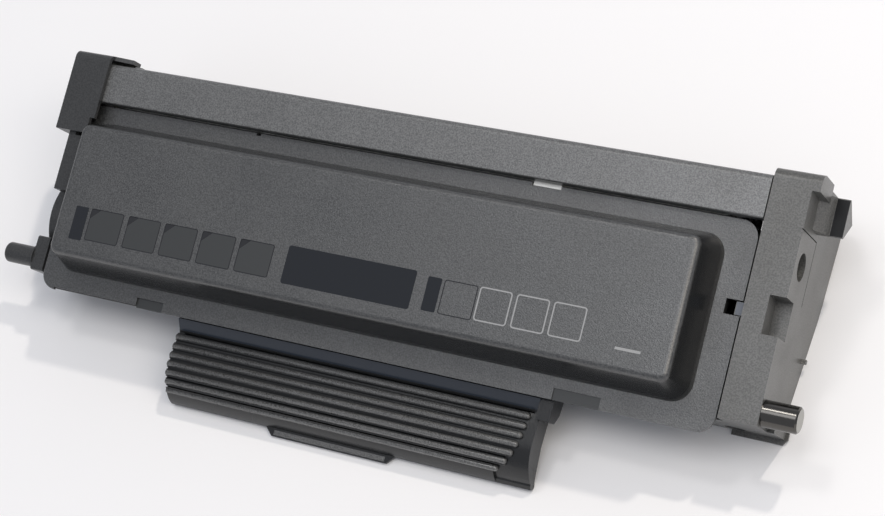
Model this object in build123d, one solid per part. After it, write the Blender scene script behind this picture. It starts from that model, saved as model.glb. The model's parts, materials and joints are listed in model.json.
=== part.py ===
from build123d import *
import os
from math import acos, atan2, cos, degrees, hypot, pi, radians, sin, sqrt, tan

os.makedirs("parts", exist_ok=True)

# Laser printer toner cartridge that carries its own developer roller.
# It is drawn square to its lid: x runs along the cartridge, y from the handle to the rollers, z out
# of the lid, with z = 0 on the lid's flange and x = 0 at the left end of the roller bar. At the end
# it is turned to rest on the handle's foot and the end caps' lower edges, as it lies on a table.

# Resting line, which the feet of the handle and the caps share
REST_HEIGHT = -23.2     # z of the resting plane at y = 0
REST_SLOPE = 0.325      # fall of the plane for each mm of y

# Hopper
WALL = 1.6
FLANGE_LEFT = -4.7
FLANGE_RIGHT = 230.0
FLANGE_DEPTH = 63.4
LID_FLANGE = 1.3
TUB_FLANGE = 1.7
FLANGE_CORNER = 5.5
NICK = (157.3, 166.9)    # nick in the flange's rear edge, where the bracket shows
PAN_LEFT = 0.3
PAN_RIGHT = FLANGE_RIGHT - 8.6
PAN_FRONT = 6.9
PAN_BACK = FLANGE_DEPTH - 5.6
PAN_HEIGHT = 14.0
PAN_DRAFT = 16.0        # degrees that the lid's walls lean in
PAN_CORNER = 6.5
PAN_EDGE = 1.9
TUB_LEFT = 1.6          # outer face of the left end wall
TUB_RIGHT = FLANGE_RIGHT - 9.0   # outer face of the right end wall
TUB_FRONT = 5.0
FLOOR_GAP = 1.7         # hopper floor above the resting plane
FLOOR_BACK = FLANGE_DEPTH - 19.4   # the floor turns up to the trough here
BEAM_FRONT = FLANGE_DEPTH - 5.2   # beam across the hopper that the blade is screwed to
BEAM_BACK = FLANGE_DEPTH + 0.3
BEAM_LOW = -9.8
FILL_HOLE = 11.0
FILL_BACK = 2.4         # fill hole's centre behind the agitator's axis
FILL_DROP = 12.2        # and below it

# Rollers
DEV_Y = FLANGE_DEPTH + 4.1
DEV_Z = -20.5
DEV_RADIUS = 8.0
DEV_SHAFT = 3.0
SUPPLY_Z = -25.4
SUPPLY_RADIUS = 7.0
SUPPLY_SHAFT = 2.5
NIP_GAP = 0.3           # the foam would press in, it is drawn just clear
ROLLER_INSET = 3.0      # from an end wall to the sleeve
FOAM_INSET = 3.6
TROUGH_GAP = 1.0
RUN_FIT = 0.05          # radial play of everything that turns
BUSH_RADIUS = 5.0
BUSH_FLANGE = 6.3
BUSH_FLANGE_THICK = 1.0

# Gears
MODULE = 0.8
ADDENDUM = 0.85
DEDENDUM = 1.15
BACKLASH = 0.16         # taken off the tooth at the pitch line
PRESSURE = radians(20)
DEV_TEETH = 16
REAR_IDLER_TEETH = 18
SUPPLY_TEETH = 15
FRONT_IDLER_TEETH = 17
COUPLING_TEETH = 24
PINION_TEETH = 10
AGITATOR_TEETH = 14
COUPLING_Y = DEV_Y - 42.0
COUPLING_Z = -16.5
AGITATOR_TURN = radians(35)   # way from the coupling's axis to the agitator's
GEAR_GAP = 0.35         # between the two gear layers and beside them
INNER_FACE = 3.1        # width of the gears next to the hopper wall
OUTER_FACE = 3.5
POST = 2.0
COUPLING_POST = 2.4
HUB_RADIUS = 6.2
HUB_LENGTH = 3.9

# Agitator
AGITATOR_RADIUS = 16.0
AGITATOR_SHAFT = 2.5
FILM = 0.4

# Roller bar
BAR_GAP = 0.6           # between the flange and the bar
BAR_FRONT = FLANGE_DEPTH + BAR_GAP
BAR_BACK = BAR_FRONT + 13.5
BAR_TOP = 3.4
BAR_WALL = 1.6
BAR_ROUND = 2.0
BAR_OVERLAP = 0.8       # bar end under the left cap's lip
BAR_RIBS = 7
BAR_RIB_STEP = 28.5

# Doctor blade
SHEET = 1.2
BLADE = 0.4
BLADE_GAP = 0.3
BRACKET_TOP = -3.2
TAB_TOP = -0.7          # tab of the bracket that shows in the flange's nick
BLADE_SCREW_Z = -7.2

# Left cap, over the gears
CAP_WALL = 1.4
GEAR_CAP_X = -7.5       # outer face beside the hopper
GEAR_BLOCK_X = -12.0    # outer face of the rear block
LIP_X = 1.7             # edge of the rear block over the bar's end
BOSS_X = -9.2           # outer face of the round boss
CAP_SEAT = 0.35         # gap left all round between the cap and what it covers
COVER_TOP = -1.9
BLOCK_ROUND = 2.6
SHOULDER_TOP = 3.3
BLOCK_TOP = 5.2
BLOCK_FRONT = FLANGE_DEPTH - 10.9
SHOULDER_FRONT = BLOCK_FRONT - 20.0
CAP_BACK = FLANGE_DEPTH + 16.6
CAP_FOOT_FRONT = 27.1   # the caps rest on their lower edge from here
CAP_FOOT_BACK = CAP_BACK - 36.1   # to here
HEEL_Y = CAP_BACK - 10.0
HEEL_HEIGHT = 3.95      # heel of the caps above the resting plane
BOSS_RADIUS = 15.0      # round boss over the coupling gear
ARM_X = -10.4           # face that the left pin stands on
ARM_INNER = -5.6
PIN_Y = COUPLING_Y - 16.1
ARM_FRONT = PIN_Y - 4.5
ARM_BACK = PIN_Y + 7.2
ARM_LOW = -9.5
LEFT_PIN_Z = -3.5
LEFT_PIN_RADIUS = 3.4
LEFT_PIN_LENGTH = 12.0

# Right cap
CAP_GAP = 0.4           # between the bar's end and the right cap
CONTACT_CAP_LEFT = FLANGE_RIGHT + 1.4
CONTACT_CAP_X = CONTACT_CAP_LEFT + 11.9
CONTACT_ROUND = 3.0
CONTACT_TOP = 3.5
CONTACT_FRONT = 5.0
WING_X = CONTACT_CAP_X + 2.5   # outer face of the cap's rear wall
WING_FRONT = CAP_BACK - 5.6
EYE_Y = FLANGE_DEPTH - 10.2   # round hole in the side wall
EYE_Z = -4.3
EYE_RADIUS = 4.2
EYE_DEPTH = 7.0         # the screw at its bottom is this deep
EYE_WALL = 1.2
FRONT_SCREW = (CONTACT_CAP_LEFT - 0.4, -19.0)   # x and z of the screw in the cap's front
FRONT_SCREW_DEPTH = 2.2
LUG_ROOT = CONTACT_CAP_X + 3.6  # the V lug's flare ends here
LUG_END = LUG_ROOT + 4.1
RIGHT_PIN_Z = -0.7
RIGHT_PIN_RADIUS = 4.0
RIGHT_PIN_LENGTH = 10.7
PIN_ROOT = 6.0          # length of the steel pin inside its boss
PIN_ROOT_RADIUS = 3.0
PIN_CHAMFER = 0.5

# Carry handle
GRIP_LEFT = 48.3
GRIP_RIGHT = 176.0
GRIP_SKIN = 2.0
GRIP_PAD = 0.9          # height of the ribs and the nose over the skin
GRIP_TOPS = [(-4.6, -4.5), (-8.0, -3.9), (-12.0, -3.4), (-16.0, -3.3), (-20.0, -4.5), (-23.2, -6.8),
             (-25.6, -9.6), (-26.9, -12.3)]   # y and z along the grip's profile, from the neck to the nose
NOSE_Y = -26.9
NECK = (-4.3, -5.6)
RIBS = [(-4.7, 173.2), (-7.9, 172.9), (-10.9, 172.5), (-13.8, 171.9), (-16.7, 170.8), (-19.5, 169.0)]
RIB_WIDTH = 2.45        # RIBS gives each rib's rear edge and its right end
RIB_EDGE = 0.35
NOSE_PAD = (-22.4, 164.5)   # rear edge and right end of the smooth nose below the ribs
LIP_LEFT = 83.0
LIP_RIGHT = 131.0
LIP_REACH = 2.6
LIP_Z = -12.4

# Screws
SCREW_SHANK = 1.3
SCREW_HEAD = 2.6
SCREW_HEAD_THICK = 1.6
BOSS = 2.2

PARTS = {}


def polygon(points):
    """Flat outline through (y, z) points, standing on the x = 0 plane."""
    return make_face(Polyline(*points, close=True))


def prism(points, low, high):
    """Solid with a (y, z) outline that runs from x = low to x = high."""
    return extrude(Plane.YZ.offset(low) * polygon(points), amount=high - low, dir=(1, 0, 0))


def rod(y, z, radius, low, high):
    """Round bar along x."""
    return Pos((low + high) / 2, y, z) * Cylinder(radius, high - low, rotation=(0, 90, 0))


def block(x, y, z):
    """Box given by its (low, high) limits along x, y and z."""
    centre = ((x[0] + x[1]) / 2, (y[0] + y[1]) / 2, (z[0] + z[1]) / 2)
    return Pos(*centre) * Box(x[1] - x[0], y[1] - y[0], z[1] - z[0])


def rest_z(y, above=0.0):
    """Height of a line that runs above the resting plane, at y."""
    return REST_HEIGHT - REST_SLOPE * y + above * hypot(1, REST_SLOPE)


def meet(a, reach_a, b, reach_b, side):
    """Point at the two given distances from the (y, z) points a and b."""
    span = hypot(b[0] - a[0], b[1] - a[1])
    along = (reach_a ** 2 - reach_b ** 2 + span ** 2) / (2 * span)
    off = side * sqrt(reach_a ** 2 - along ** 2)
    uy, uz = (b[0] - a[0]) / span, (b[1] - a[1]) / span
    return (a[0] + along * uy - off * uz, a[1] + along * uz + off * uy)


def mesh_reach(teeth_a, teeth_b):
    """Distance between the axes of two meshing gears."""
    return MODULE * (teeth_a + teeth_b) / 2


def tip_radius(teeth):
    """Radius over a gear's teeth."""
    return MODULE * (teeth / 2 + ADDENDUM)


# Places of the axes, from the sizes above
DEV = (DEV_Y, DEV_Z)
NIP = DEV_RADIUS + SUPPLY_RADIUS + NIP_GAP
SUPPLY = (DEV_Y - sqrt(NIP ** 2 - (DEV_Z - SUPPLY_Z) ** 2), SUPPLY_Z)
COUPLING = (COUPLING_Y, COUPLING_Z)
REAR_IDLER = meet(SUPPLY, mesh_reach(SUPPLY_TEETH, REAR_IDLER_TEETH),
                  DEV, mesh_reach(DEV_TEETH, REAR_IDLER_TEETH), 1)
FRONT_IDLER = meet(COUPLING, mesh_reach(COUPLING_TEETH, FRONT_IDLER_TEETH),
                   SUPPLY, mesh_reach(SUPPLY_TEETH, FRONT_IDLER_TEETH), 1)
AGITATOR_REACH = mesh_reach(PINION_TEETH, AGITATOR_TEETH)
AGITATOR = (COUPLING_Y + AGITATOR_REACH * cos(AGITATOR_TURN),
            COUPLING_Z + AGITATOR_REACH * sin(AGITATOR_TURN))
INNER_HIGH = TUB_LEFT - GEAR_GAP
INNER_LOW = INNER_HIGH - INNER_FACE
OUTER_HIGH = INNER_LOW - GEAR_GAP
OUTER_LOW = OUTER_HIGH - OUTER_FACE
TUB_INNER_LEFT = TUB_LEFT + WALL
TUB_INNER_RIGHT = TUB_RIGHT - WALL
LEFT_BOSSES = [(DEV_Y - 21.2, -8.6), (DEV_Y - 18.5, -34.0), (COUPLING_Y - 11.5, COUPLING_Z - 5.3)]
FILL = (AGITATOR[0] + FILL_BACK, AGITATOR[1] - FILL_DROP)
OUTER_GEARS = [(COUPLING_TEETH, COUPLING), (FRONT_IDLER_TEETH, FRONT_IDLER), (SUPPLY_TEETH, SUPPLY),
               (REAR_IDLER_TEETH, REAR_IDLER), (DEV_TEETH, DEV)]


def tub_outline():
    """Outer outline of the hopper's section, from the front wall round to the lower lip."""
    return [(TUB_FRONT, -LID_FLANGE), (TUB_FRONT, rest_z(TUB_FRONT, FLOOR_GAP + 2.0)),
            (TUB_FRONT + 3.5, rest_z(TUB_FRONT + 3.5, FLOOR_GAP)), (FLOOR_BACK, rest_z(FLOOR_BACK, FLOOR_GAP)),
            (SUPPLY[0] + 3, SUPPLY_Z - SUPPLY_RADIUS - TROUGH_GAP - WALL - 0.8),
            (DEV_Y + 1.5, DEV_Z - DEV_RADIUS - TROUGH_GAP - WALL), (DEV_Y + 3.6, DEV_Z - DEV_RADIUS - 0.4),
            (BEAM_BACK, BEAM_LOW), (BEAM_BACK, -LID_FLANGE)]


def end_wall(low, high):
    """End wall of the hopper, with the ear that carries the developer roller."""
    outline = tub_outline()[:5]
    outline += [(DEV_Y - 4.5, DEV_Z - DEV_RADIUS - TROUGH_GAP - 0.4), (DEV_Y - 1, DEV_Z - BUSH_FLANGE),
                (DEV_Y + 4.5, DEV_Z), (BEAM_BACK + 3, -11), (BEAM_BACK, BEAM_LOW),
                (BEAM_BACK, -LID_FLANGE)]
    wall = prism(outline, low, high) + rod(*DEV, BUSH_FLANGE, low, high)
    return wall


def plan_plate(inset, corner, low, high):
    """Flange plate, with rounded corners in plan."""
    x0, x1 = FLANGE_LEFT + inset, FLANGE_RIGHT - inset
    y0, y1 = inset, FLANGE_DEPTH - inset
    plan = Pos((x0 + x1) / 2, (y0 + y1) / 2, low) * RectangleRounded(x1 - x0, y1 - y0, corner)
    return extrude(plan, amount=high - low)


def flange_notches():
    """Latch slot in the flange's right edge and the two nicks in its rear edge."""
    slot = block((FLANGE_RIGHT - 5, FLANGE_RIGHT + 1), (35.2, 39.8), (-4, 1))
    nick = block(NICK, (FLANGE_DEPTH - 1.0, FLANGE_DEPTH + 1), (-4, 1))
    corner_nick = block((60.0, 61.6), (FLANGE_DEPTH - 0.8, FLANGE_DEPTH + 1), (-4, 1))
    return slot + nick + corner_nick


def cavity():
    """Room inside the hopper: toner space, roller chamber and the two troughs."""
    inner_floor = FLOOR_GAP + WALL
    sill = SUPPLY[0] - SUPPLY_RADIUS
    room = [(TUB_FRONT + WALL, 2), (TUB_FRONT + WALL, rest_z(TUB_FRONT + WALL, inner_floor + 2)),
            (TUB_FRONT + WALL + 3, rest_z(TUB_FRONT + WALL + 3, inner_floor)),
            (FLOOR_BACK - 1, rest_z(FLOOR_BACK - 1, inner_floor)), (sill, SUPPLY_Z), (sill, BEAM_LOW),
            (BEAM_FRONT, BEAM_LOW),
            (BEAM_FRONT, 2)]
    chamber = [(sill - 1, SUPPLY_Z), (sill - 1, BEAM_LOW), (BEAM_BACK + 20, BEAM_LOW), (BEAM_BACK + 20, DEV_Z),
               (DEV_Y, DEV_Z)]
    low, high = TUB_INNER_LEFT, TUB_INNER_RIGHT
    hollow = prism(room, low, high) + prism(chamber, low, high)
    hollow += rod(*SUPPLY, SUPPLY_RADIUS + TROUGH_GAP, low, high)
    hollow += rod(*DEV, DEV_RADIUS + TROUGH_GAP, low, high)
    return hollow


def contact_side_bosses():
    """Bosses for the right cap's two screws, and the skid below the right end wall."""
    boss = rod(EYE_Y, EYE_Z, BOSS + 0.6, TUB_RIGHT, CONTACT_CAP_X - EYE_DEPTH - CAP_WALL - 0.1)
    x, z = FRONT_SCREW
    seat = CONTACT_FRONT + FRONT_SCREW_DEPTH + CAP_WALL + 0.1
    boss += block((TUB_RIGHT - WALL, x + 3), (seat, seat + 6), (z - 3, z + 3))
    skid = [(FLOOR_BACK, rest_z(FLOOR_BACK, FLOOR_GAP)), (DEV_Y - 0.5, rest_z(DEV_Y, 7.5)),
            (DEV_Y - 0.5, DEV_Z - DEV_RADIUS), (SUPPLY[0], SUPPLY_Z - SUPPLY_RADIUS)]
    return boss + prism(skid, TUB_INNER_RIGHT, TUB_RIGHT)


def hopper_casing():
    """Lower tub: flange, walls, troughs, blade beam, gear posts and cap bosses."""
    top = -LID_FLANGE
    body = prism(tub_outline(), TUB_INNER_LEFT - 0.1, TUB_INNER_RIGHT + 0.1)
    body += end_wall(TUB_LEFT, TUB_INNER_LEFT) + end_wall(TUB_INNER_RIGHT, TUB_RIGHT)
    body += plan_plate(0.5, FLANGE_CORNER - 0.5, top - TUB_FLANGE, top)
    body -= cavity()
    body -= flange_notches()
    post_end = OUTER_LOW + 0.2
    for axis in (FRONT_IDLER, REAR_IDLER):
        body += rod(*axis, POST, post_end, TUB_LEFT)
        body += rod(*axis, POST + 1.4, INNER_LOW, TUB_LEFT)
    body += rod(*COUPLING, COUPLING_POST, post_end, TUB_LEFT)
    for y, z in LEFT_BOSSES:
        body += rod(y, z, BOSS, GEAR_CAP_X + CAP_WALL, TUB_LEFT)
        body -= rod(y, z, SCREW_SHANK, GEAR_CAP_X, TUB_LEFT)
    body += contact_side_bosses()
    x, z = FRONT_SCREW
    body -= Pos(x, CONTACT_FRONT, z) * Cylinder(SCREW_SHANK, 22, rotation=(90, 0, 0))
    body -= rod(EYE_Y, EYE_Z, SCREW_SHANK, CONTACT_CAP_X - EYE_DEPTH - 8, CONTACT_CAP_X)
    for low, high in ((TUB_LEFT, TUB_INNER_LEFT), (TUB_INNER_RIGHT, TUB_RIGHT)):
        body -= rod(*DEV, BUSH_RADIUS, low - 1, high + 1)
        body -= rod(*SUPPLY, BUSH_RADIUS - 0.8, low - 1, high + 1)
    body -= rod(*AGITATOR, AGITATOR_SHAFT + 2.0, TUB_LEFT - 1, TUB_INNER_LEFT + 1)
    body += rod(*AGITATOR, AGITATOR_SHAFT + 1.5, TUB_INNER_RIGHT - 3, TUB_RIGHT)
    body -= rod(*AGITATOR, AGITATOR_SHAFT + RUN_FIT, TUB_INNER_RIGHT - 4, TUB_RIGHT - 1.2)
    body -= rod(*FILL, FILL_HOLE / 2, TUB_INNER_RIGHT - 1, TUB_RIGHT + 1)
    for x in screw_places():
        body -= Pos(x, BEAM_BACK - 2, BLADE_SCREW_Z) * Cylinder(SCREW_SHANK, 9, rotation=(90, 0, 0))
    return body


def screw_places():
    """x of the two screws that hold the blade bracket."""
    return (TUB_INNER_LEFT + 7.5, TUB_INNER_RIGHT - 7.5)


def pan(inset, height, corner, edge):
    """Leaning block of the lid, inset all round by a wall."""
    x0, x1 = PAN_LEFT + inset, PAN_RIGHT - inset
    y0, y1 = PAN_FRONT + inset, PAN_BACK - inset
    base = Pos((x0 + x1) / 2, (y0 + y1) / 2, 0) * RectangleRounded(x1 - x0, y1 - y0, corner)
    solid = extrude(base, amount=height, taper=PAN_DRAFT)
    return fillet(solid.faces().sort_by(Axis.Z)[-1].edges(), edge)


def hopper_lid():
    """Flanged lid with its raised pan, hollow below."""
    lid = plan_plate(0, FLANGE_CORNER, -LID_FLANGE, 0)
    lid += pan(0, PAN_HEIGHT, PAN_CORNER, PAN_EDGE)
    lid -= pan(WALL, PAN_HEIGHT - WALL, PAN_CORNER - WALL, PAN_EDGE - WALL / 2)
    x0, x1 = PAN_LEFT + WALL, PAN_RIGHT - WALL
    y0, y1 = PAN_FRONT + WALL, PAN_BACK - WALL
    hole = Pos((x0 + x1) / 2, (y0 + y1) / 2, -LID_FLANGE) * RectangleRounded(x1 - x0, y1 - y0, 4.9)
    lid -= extrude(hole, amount=LID_FLANGE)
    lid -= flange_notches()
    # front edge: set back at the left, a dip beside it and another near the right
    lid -= block((FLANGE_LEFT + FLANGE_CORNER, 33.0), (-1, 0.7), (-2, 1))
    lid -= block((33.0, 43.0), (-1, 3.2), (-0.8, 1))
    lid -= block((180.0, 195.0), (-1, 3.6), (-0.5, 1))
    return lid


def roller_bar_cover():
    """Cover strip over the blade and roller, a channel with a rounded rear edge."""
    low, high = -BAR_OVERLAP, CONTACT_CAP_LEFT - CAP_GAP
    outer = block((low, high), (BAR_FRONT, BAR_BACK), (-3.4, BAR_TOP))
    outer = fillet(outer.edges().filter_by(Axis.X).group_by(Axis.Z)[-1].sort_by(Axis.Y)[-1], BAR_ROUND)
    outer = fillet(outer.edges().filter_by(Axis.X).group_by(Axis.Z)[-1].sort_by(Axis.Y)[0], 0.5)
    inner = block((low, high), (BAR_FRONT + BAR_WALL, BAR_BACK - BAR_WALL), (-5, BAR_TOP - BAR_WALL))
    inner = fillet(inner.edges().filter_by(Axis.X).group_by(Axis.Z)[-1].sort_by(Axis.Y)[-1],
                   BAR_ROUND - BAR_WALL)
    bar = outer - inner
    bar -= block((low - 1, high + 1), (BAR_FRONT - 1, BAR_FRONT + BAR_WALL + 1), (-5, -0.2))
    for x in (BAR_RIB_STEP * i for i in range(1, BAR_RIBS + 1)):
        bar += block((x, x + 1.2), (BAR_FRONT + 1, BAR_BACK - 1), (0.4, BAR_TOP - 1))
    bump = block((8.9, 11.6), (BAR_BACK - 2, BAR_BACK + 0.6), (-2.5, 0.4))
    return bar + bump


def tooth_half_angle(teeth, radius):
    """Half of the angle that a tooth takes up at a radius, from the involute."""
    pitch = MODULE * teeth / 2
    base = pitch * cos(PRESSURE)
    at_pitch = (pi * MODULE / 2 - BACKLASH) / (2 * pitch)
    lean = acos(min(1.0, base / max(radius, base)))
    return at_pitch + (tan(PRESSURE) - PRESSURE) - (tan(lean) - lean)


def gear(teeth, phase, centre, low, high):
    """Spur gear along x with one tooth's middle at the angle phase."""
    root = MODULE * (teeth / 2 - DEDENDUM)
    middle = MODULE * (teeth / 2 - 0.1)
    tip = tip_radius(teeth)
    points = []
    for k in range(teeth):
        turn = phase + 2 * pi * k / teeth
        flank = [(r, tooth_half_angle(teeth, r)) for r in (root, middle, tip)]
        around = [(r, -a) for r, a in flank] + [(r, a) for r, a in reversed(flank)]
        points += [(r * cos(turn + a), r * sin(turn + a)) for r, a in around]
    outline = Pos(*centre) * polygon(points)
    return extrude(Plane.YZ.offset(low) * outline, amount=high - low, dir=(1, 0, 0))


def next_phase(teeth_a, phase_a, a, teeth_b, b):
    """Phase that puts gear b's teeth into gear a's gaps."""
    way = atan2(b[1] - a[1], b[0] - a[0])
    part = (way - phase_a) * teeth_a / (2 * pi)
    return way + pi - (0.5 - part) * 2 * pi / teeth_b


DEV_PHASE = 0.0
REAR_PHASE = next_phase(DEV_TEETH, DEV_PHASE, DEV, REAR_IDLER_TEETH, REAR_IDLER)
SUPPLY_PHASE = next_phase(REAR_IDLER_TEETH, REAR_PHASE, REAR_IDLER, SUPPLY_TEETH, SUPPLY)
FRONT_PHASE = next_phase(SUPPLY_TEETH, SUPPLY_PHASE, SUPPLY, FRONT_IDLER_TEETH, FRONT_IDLER)
COUPLING_PHASE = next_phase(FRONT_IDLER_TEETH, FRONT_PHASE, FRONT_IDLER, COUPLING_TEETH, COUPLING)
PINION_PHASE = COUPLING_PHASE
AGITATOR_PHASE = next_phase(PINION_TEETH, PINION_PHASE, COUPLING, AGITATOR_TEETH, AGITATOR)


def idler(teeth, phase, axis):
    """Idler gear that turns on a post."""
    wheel = gear(teeth, phase, axis, OUTER_LOW, OUTER_HIGH)
    return wheel - rod(*axis, POST + RUN_FIT, OUTER_LOW - 1, OUTER_HIGH + 1)


def shaft_gear(teeth, phase, axis, shaft):
    """Gear pressed on a roller's shaft, with a hub that reaches the bush."""
    wheel = gear(teeth, phase, axis, OUTER_LOW, OUTER_HIGH)
    wheel += rod(*axis, shaft + 1.5, OUTER_HIGH - 0.1, TUB_LEFT - BUSH_FLANGE_THICK - 0.1)
    return wheel - rod(*axis, shaft, OUTER_LOW - 1, TUB_LEFT)


def drive_coupling():
    """Coupling that the printer turns: gear, pinion and a hub with three drive dogs."""
    face = OUTER_LOW - HUB_LENGTH
    wheel = gear(COUPLING_TEETH, COUPLING_PHASE, COUPLING, OUTER_LOW, OUTER_HIGH)
    wheel += gear(PINION_TEETH, PINION_PHASE, COUPLING, OUTER_HIGH - 0.1, INNER_HIGH)
    wheel += rod(*COUPLING, HUB_RADIUS, face, OUTER_LOW + 0.1)
    wheel -= rod(*COUPLING, HUB_RADIUS - 1.2, face - 1, OUTER_LOW - 0.9)
    for k in range(3):
        turn = radians(30) + k * 2 * pi / 3
        dog = block((face + 0.8, OUTER_LOW), (HUB_RADIUS - 3.4, HUB_RADIUS - 0.6), (-0.9, 0.9))
        wheel += Pos(0, *COUPLING) * Rot(degrees(turn), 0, 0) * dog
    return wheel - rod(*COUPLING, COUPLING_POST + RUN_FIT, OUTER_LOW - 0.1, INNER_HIGH + 1)


def agitator_gear():
    """Gear on the agitator's shaft."""
    wheel = gear(AGITATOR_TEETH, AGITATOR_PHASE, AGITATOR, INNER_LOW, INNER_HIGH)
    return wheel - rod(*AGITATOR, AGITATOR_SHAFT, INNER_LOW - 1, INNER_HIGH + 1)


def agitator_shaft():
    """Moulded shaft with a ladder of arms that carries the film."""
    shaft = rod(*AGITATOR, AGITATOR_SHAFT, INNER_LOW, TUB_RIGHT - 1.5)
    low, high = TUB_INNER_LEFT + 4, TUB_INNER_RIGHT - 5
    rail_reach = AGITATOR_RADIUS * 0.6
    rail = block((low, high), (rail_reach - 2, rail_reach), (-1.1, 1.1))
    arms = Part()
    count = 7
    for k in range(count):
        x = low + k * (high - low - 2) / (count - 1)
        arms += block((x, x + 2), (0, rail_reach), (-1.1, 1.1))
    return shaft + Pos(0, *AGITATOR) * (rail + arms)


def agitator_film():
    """Flexible sweeping film on the agitator's rail."""
    low, high = TUB_INNER_LEFT + 3, TUB_INNER_RIGHT - 4
    rail_reach = AGITATOR_RADIUS * 0.6
    return Pos(0, *AGITATOR) * block((low, high), (rail_reach - 2, AGITATOR_RADIUS), (1.1, 1.1 + FILM))


def agitator_seal():
    """Seal ring round the agitator's shaft in the left wall."""
    ring = rod(*AGITATOR, AGITATOR_SHAFT + 2.0, TUB_LEFT, TUB_INNER_LEFT + 0.6)
    return ring - rod(*AGITATOR, AGITATOR_SHAFT + RUN_FIT, TUB_LEFT - 1, TUB_INNER_LEFT + 2)


def bush(axis, radius, bore, side):
    """Flanged bush in an end wall; side is -1 at the left and 1 at the right."""
    wall = TUB_LEFT if side < 0 else TUB_RIGHT
    inner = TUB_INNER_LEFT if side < 0 else TUB_INNER_RIGHT
    ring = rod(*axis, radius, min(wall, inner), max(wall, inner))
    lip = wall + side * BUSH_FLANGE_THICK
    ring += rod(*axis, radius + 1.2, min(wall, lip), max(wall, lip))
    return ring - rod(*axis, bore + RUN_FIT, min(wall, inner) - 5, max(wall, inner) + 5)


def sleeve(axis, radius, bore, inset):
    """Rubber or foam sleeve on a roller's shaft."""
    low, high = TUB_INNER_LEFT + inset, TUB_INNER_RIGHT - inset
    body = rod(*axis, radius, low, high)
    body = chamfer(body.edges().filter_by(GeomType.CIRCLE), 0.5)
    return body - rod(*axis, bore, low - 1, high + 1)


def roller_shaft(axis, radius, right):
    """Steel shaft with chamfered ends."""
    body = rod(*axis, radius, OUTER_LOW - 0.2, right)
    return chamfer(body.edges().filter_by(GeomType.CIRCLE), 0.4)


def blade_bracket():
    """Bent sheet bracket that stiffens the blade."""
    low, high = TUB_INNER_LEFT + 1, TUB_INNER_RIGHT - 1
    foot = DEV_Z + DEV_RADIUS + 1.6
    upright = block((low, high), (BEAM_BACK, BEAM_BACK + SHEET), (foot, BRACKET_TOP))
    shelf = block((low, high), (BEAM_BACK, BEAM_BACK + 8), (BRACKET_TOP - SHEET, BRACKET_TOP))
    bracket = upright + shelf
    bend = bracket.edges().filter_by(Axis.X).sort_by(Axis.Z)[-2:].sort_by(Axis.Y)[0]
    bracket = fillet(bend, SHEET)
    nick_left, nick_right = NICK
    bracket += block((nick_left + 0.2, nick_right - 0.2), (BEAM_BACK, BEAM_BACK + SHEET), (BRACKET_TOP - 1, TAB_TOP))
    bracket += block((nick_left + 0.2, nick_right - 0.2), (FLANGE_DEPTH - 0.8, BEAM_BACK + SHEET),
                     (TAB_TOP - 0.55, TAB_TOP))
    for x in screw_places():
        bracket -= Pos(x, BEAM_BACK, BLADE_SCREW_Z) * Cylinder(SCREW_SHANK, 9, rotation=(90, 0, 0))
    return bracket


def doctor_blade():
    """Thin spring strip, bent back over the roller at its lower edge."""
    low, high = TUB_INNER_LEFT + ROLLER_INSET, TUB_INNER_RIGHT - ROLLER_INSET
    face = BEAM_BACK + SHEET
    foot = DEV_Z + DEV_RADIUS + BLADE_GAP
    bend = 1.0
    section = [(face, -8.0), (face, foot + bend), (face + bend, foot), (DEV_Y + 1, foot),
               (DEV_Y + 1, foot + BLADE), (face + bend, foot + BLADE), (face + BLADE, foot + bend),
               (face + BLADE, -8.0)]
    blade = prism(section, low, high)
    for x in screw_places():
        blade -= Pos(x, face, BLADE_SCREW_Z) * Cylinder(SCREW_HEAD + 0.4, 4, rotation=(90, 0, 0))
    return blade


def screw(length):
    """Pan head screw along -z, head above the origin."""
    head = Pos(0, 0, SCREW_HEAD_THICK / 2) * Cylinder(SCREW_HEAD, SCREW_HEAD_THICK)
    head = chamfer(head.edges().filter_by(GeomType.CIRCLE).sort_by(Axis.Z)[-1], 0.5)
    cross = Pos(0, 0, SCREW_HEAD_THICK) * (Box(3.0, 0.7, 1.6) + Box(0.7, 3.0, 1.6))
    return head - cross + Pos(0, 0, -length / 2) * Cylinder(SCREW_SHANK, length)


def blade_screws():
    """Two screws that hold the blade bracket on the beam."""
    face = BEAM_BACK + SHEET
    return [Pos(x, face, BLADE_SCREW_Z) * Rot(-90, 0, 0) * screw(4.5) for x in screw_places()]


def roller_end_seals():
    """Felt pads that hug the developer roller's ends from below."""
    pads = []
    span = ROLLER_INSET + 5
    for low, high in ((TUB_INNER_LEFT, TUB_INNER_LEFT + span), (TUB_INNER_RIGHT - span, TUB_INNER_RIGHT)):
        ring = rod(*DEV, DEV_RADIUS + TROUGH_GAP, low, high) - rod(*DEV, DEV_RADIUS + 0.3, low - 1, high + 1)
        keep = block((low, high), (DEV_Y - 3, DEV_Y + 3.0), (DEV_Z - 12, DEV_Z - 4))
        pads.append(ring & keep)
    return pads


def lip_seal_film():
    """Film along the hopper's lower lip, just under the roller."""
    low, high = TUB_INNER_LEFT + ROLLER_INSET + 5.5, TUB_INNER_RIGHT - ROLLER_INSET - 5.5
    ring = rod(*DEV, DEV_RADIUS + TROUGH_GAP, low, high)
    ring -= rod(*DEV, DEV_RADIUS + TROUGH_GAP - FILM, low - 1, high + 1)
    keep = block((low, high), (DEV_Y - 1.5, DEV_Y + 3.4), (DEV_Z - 12, DEV_Z - 4))
    return ring & keep


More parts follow.
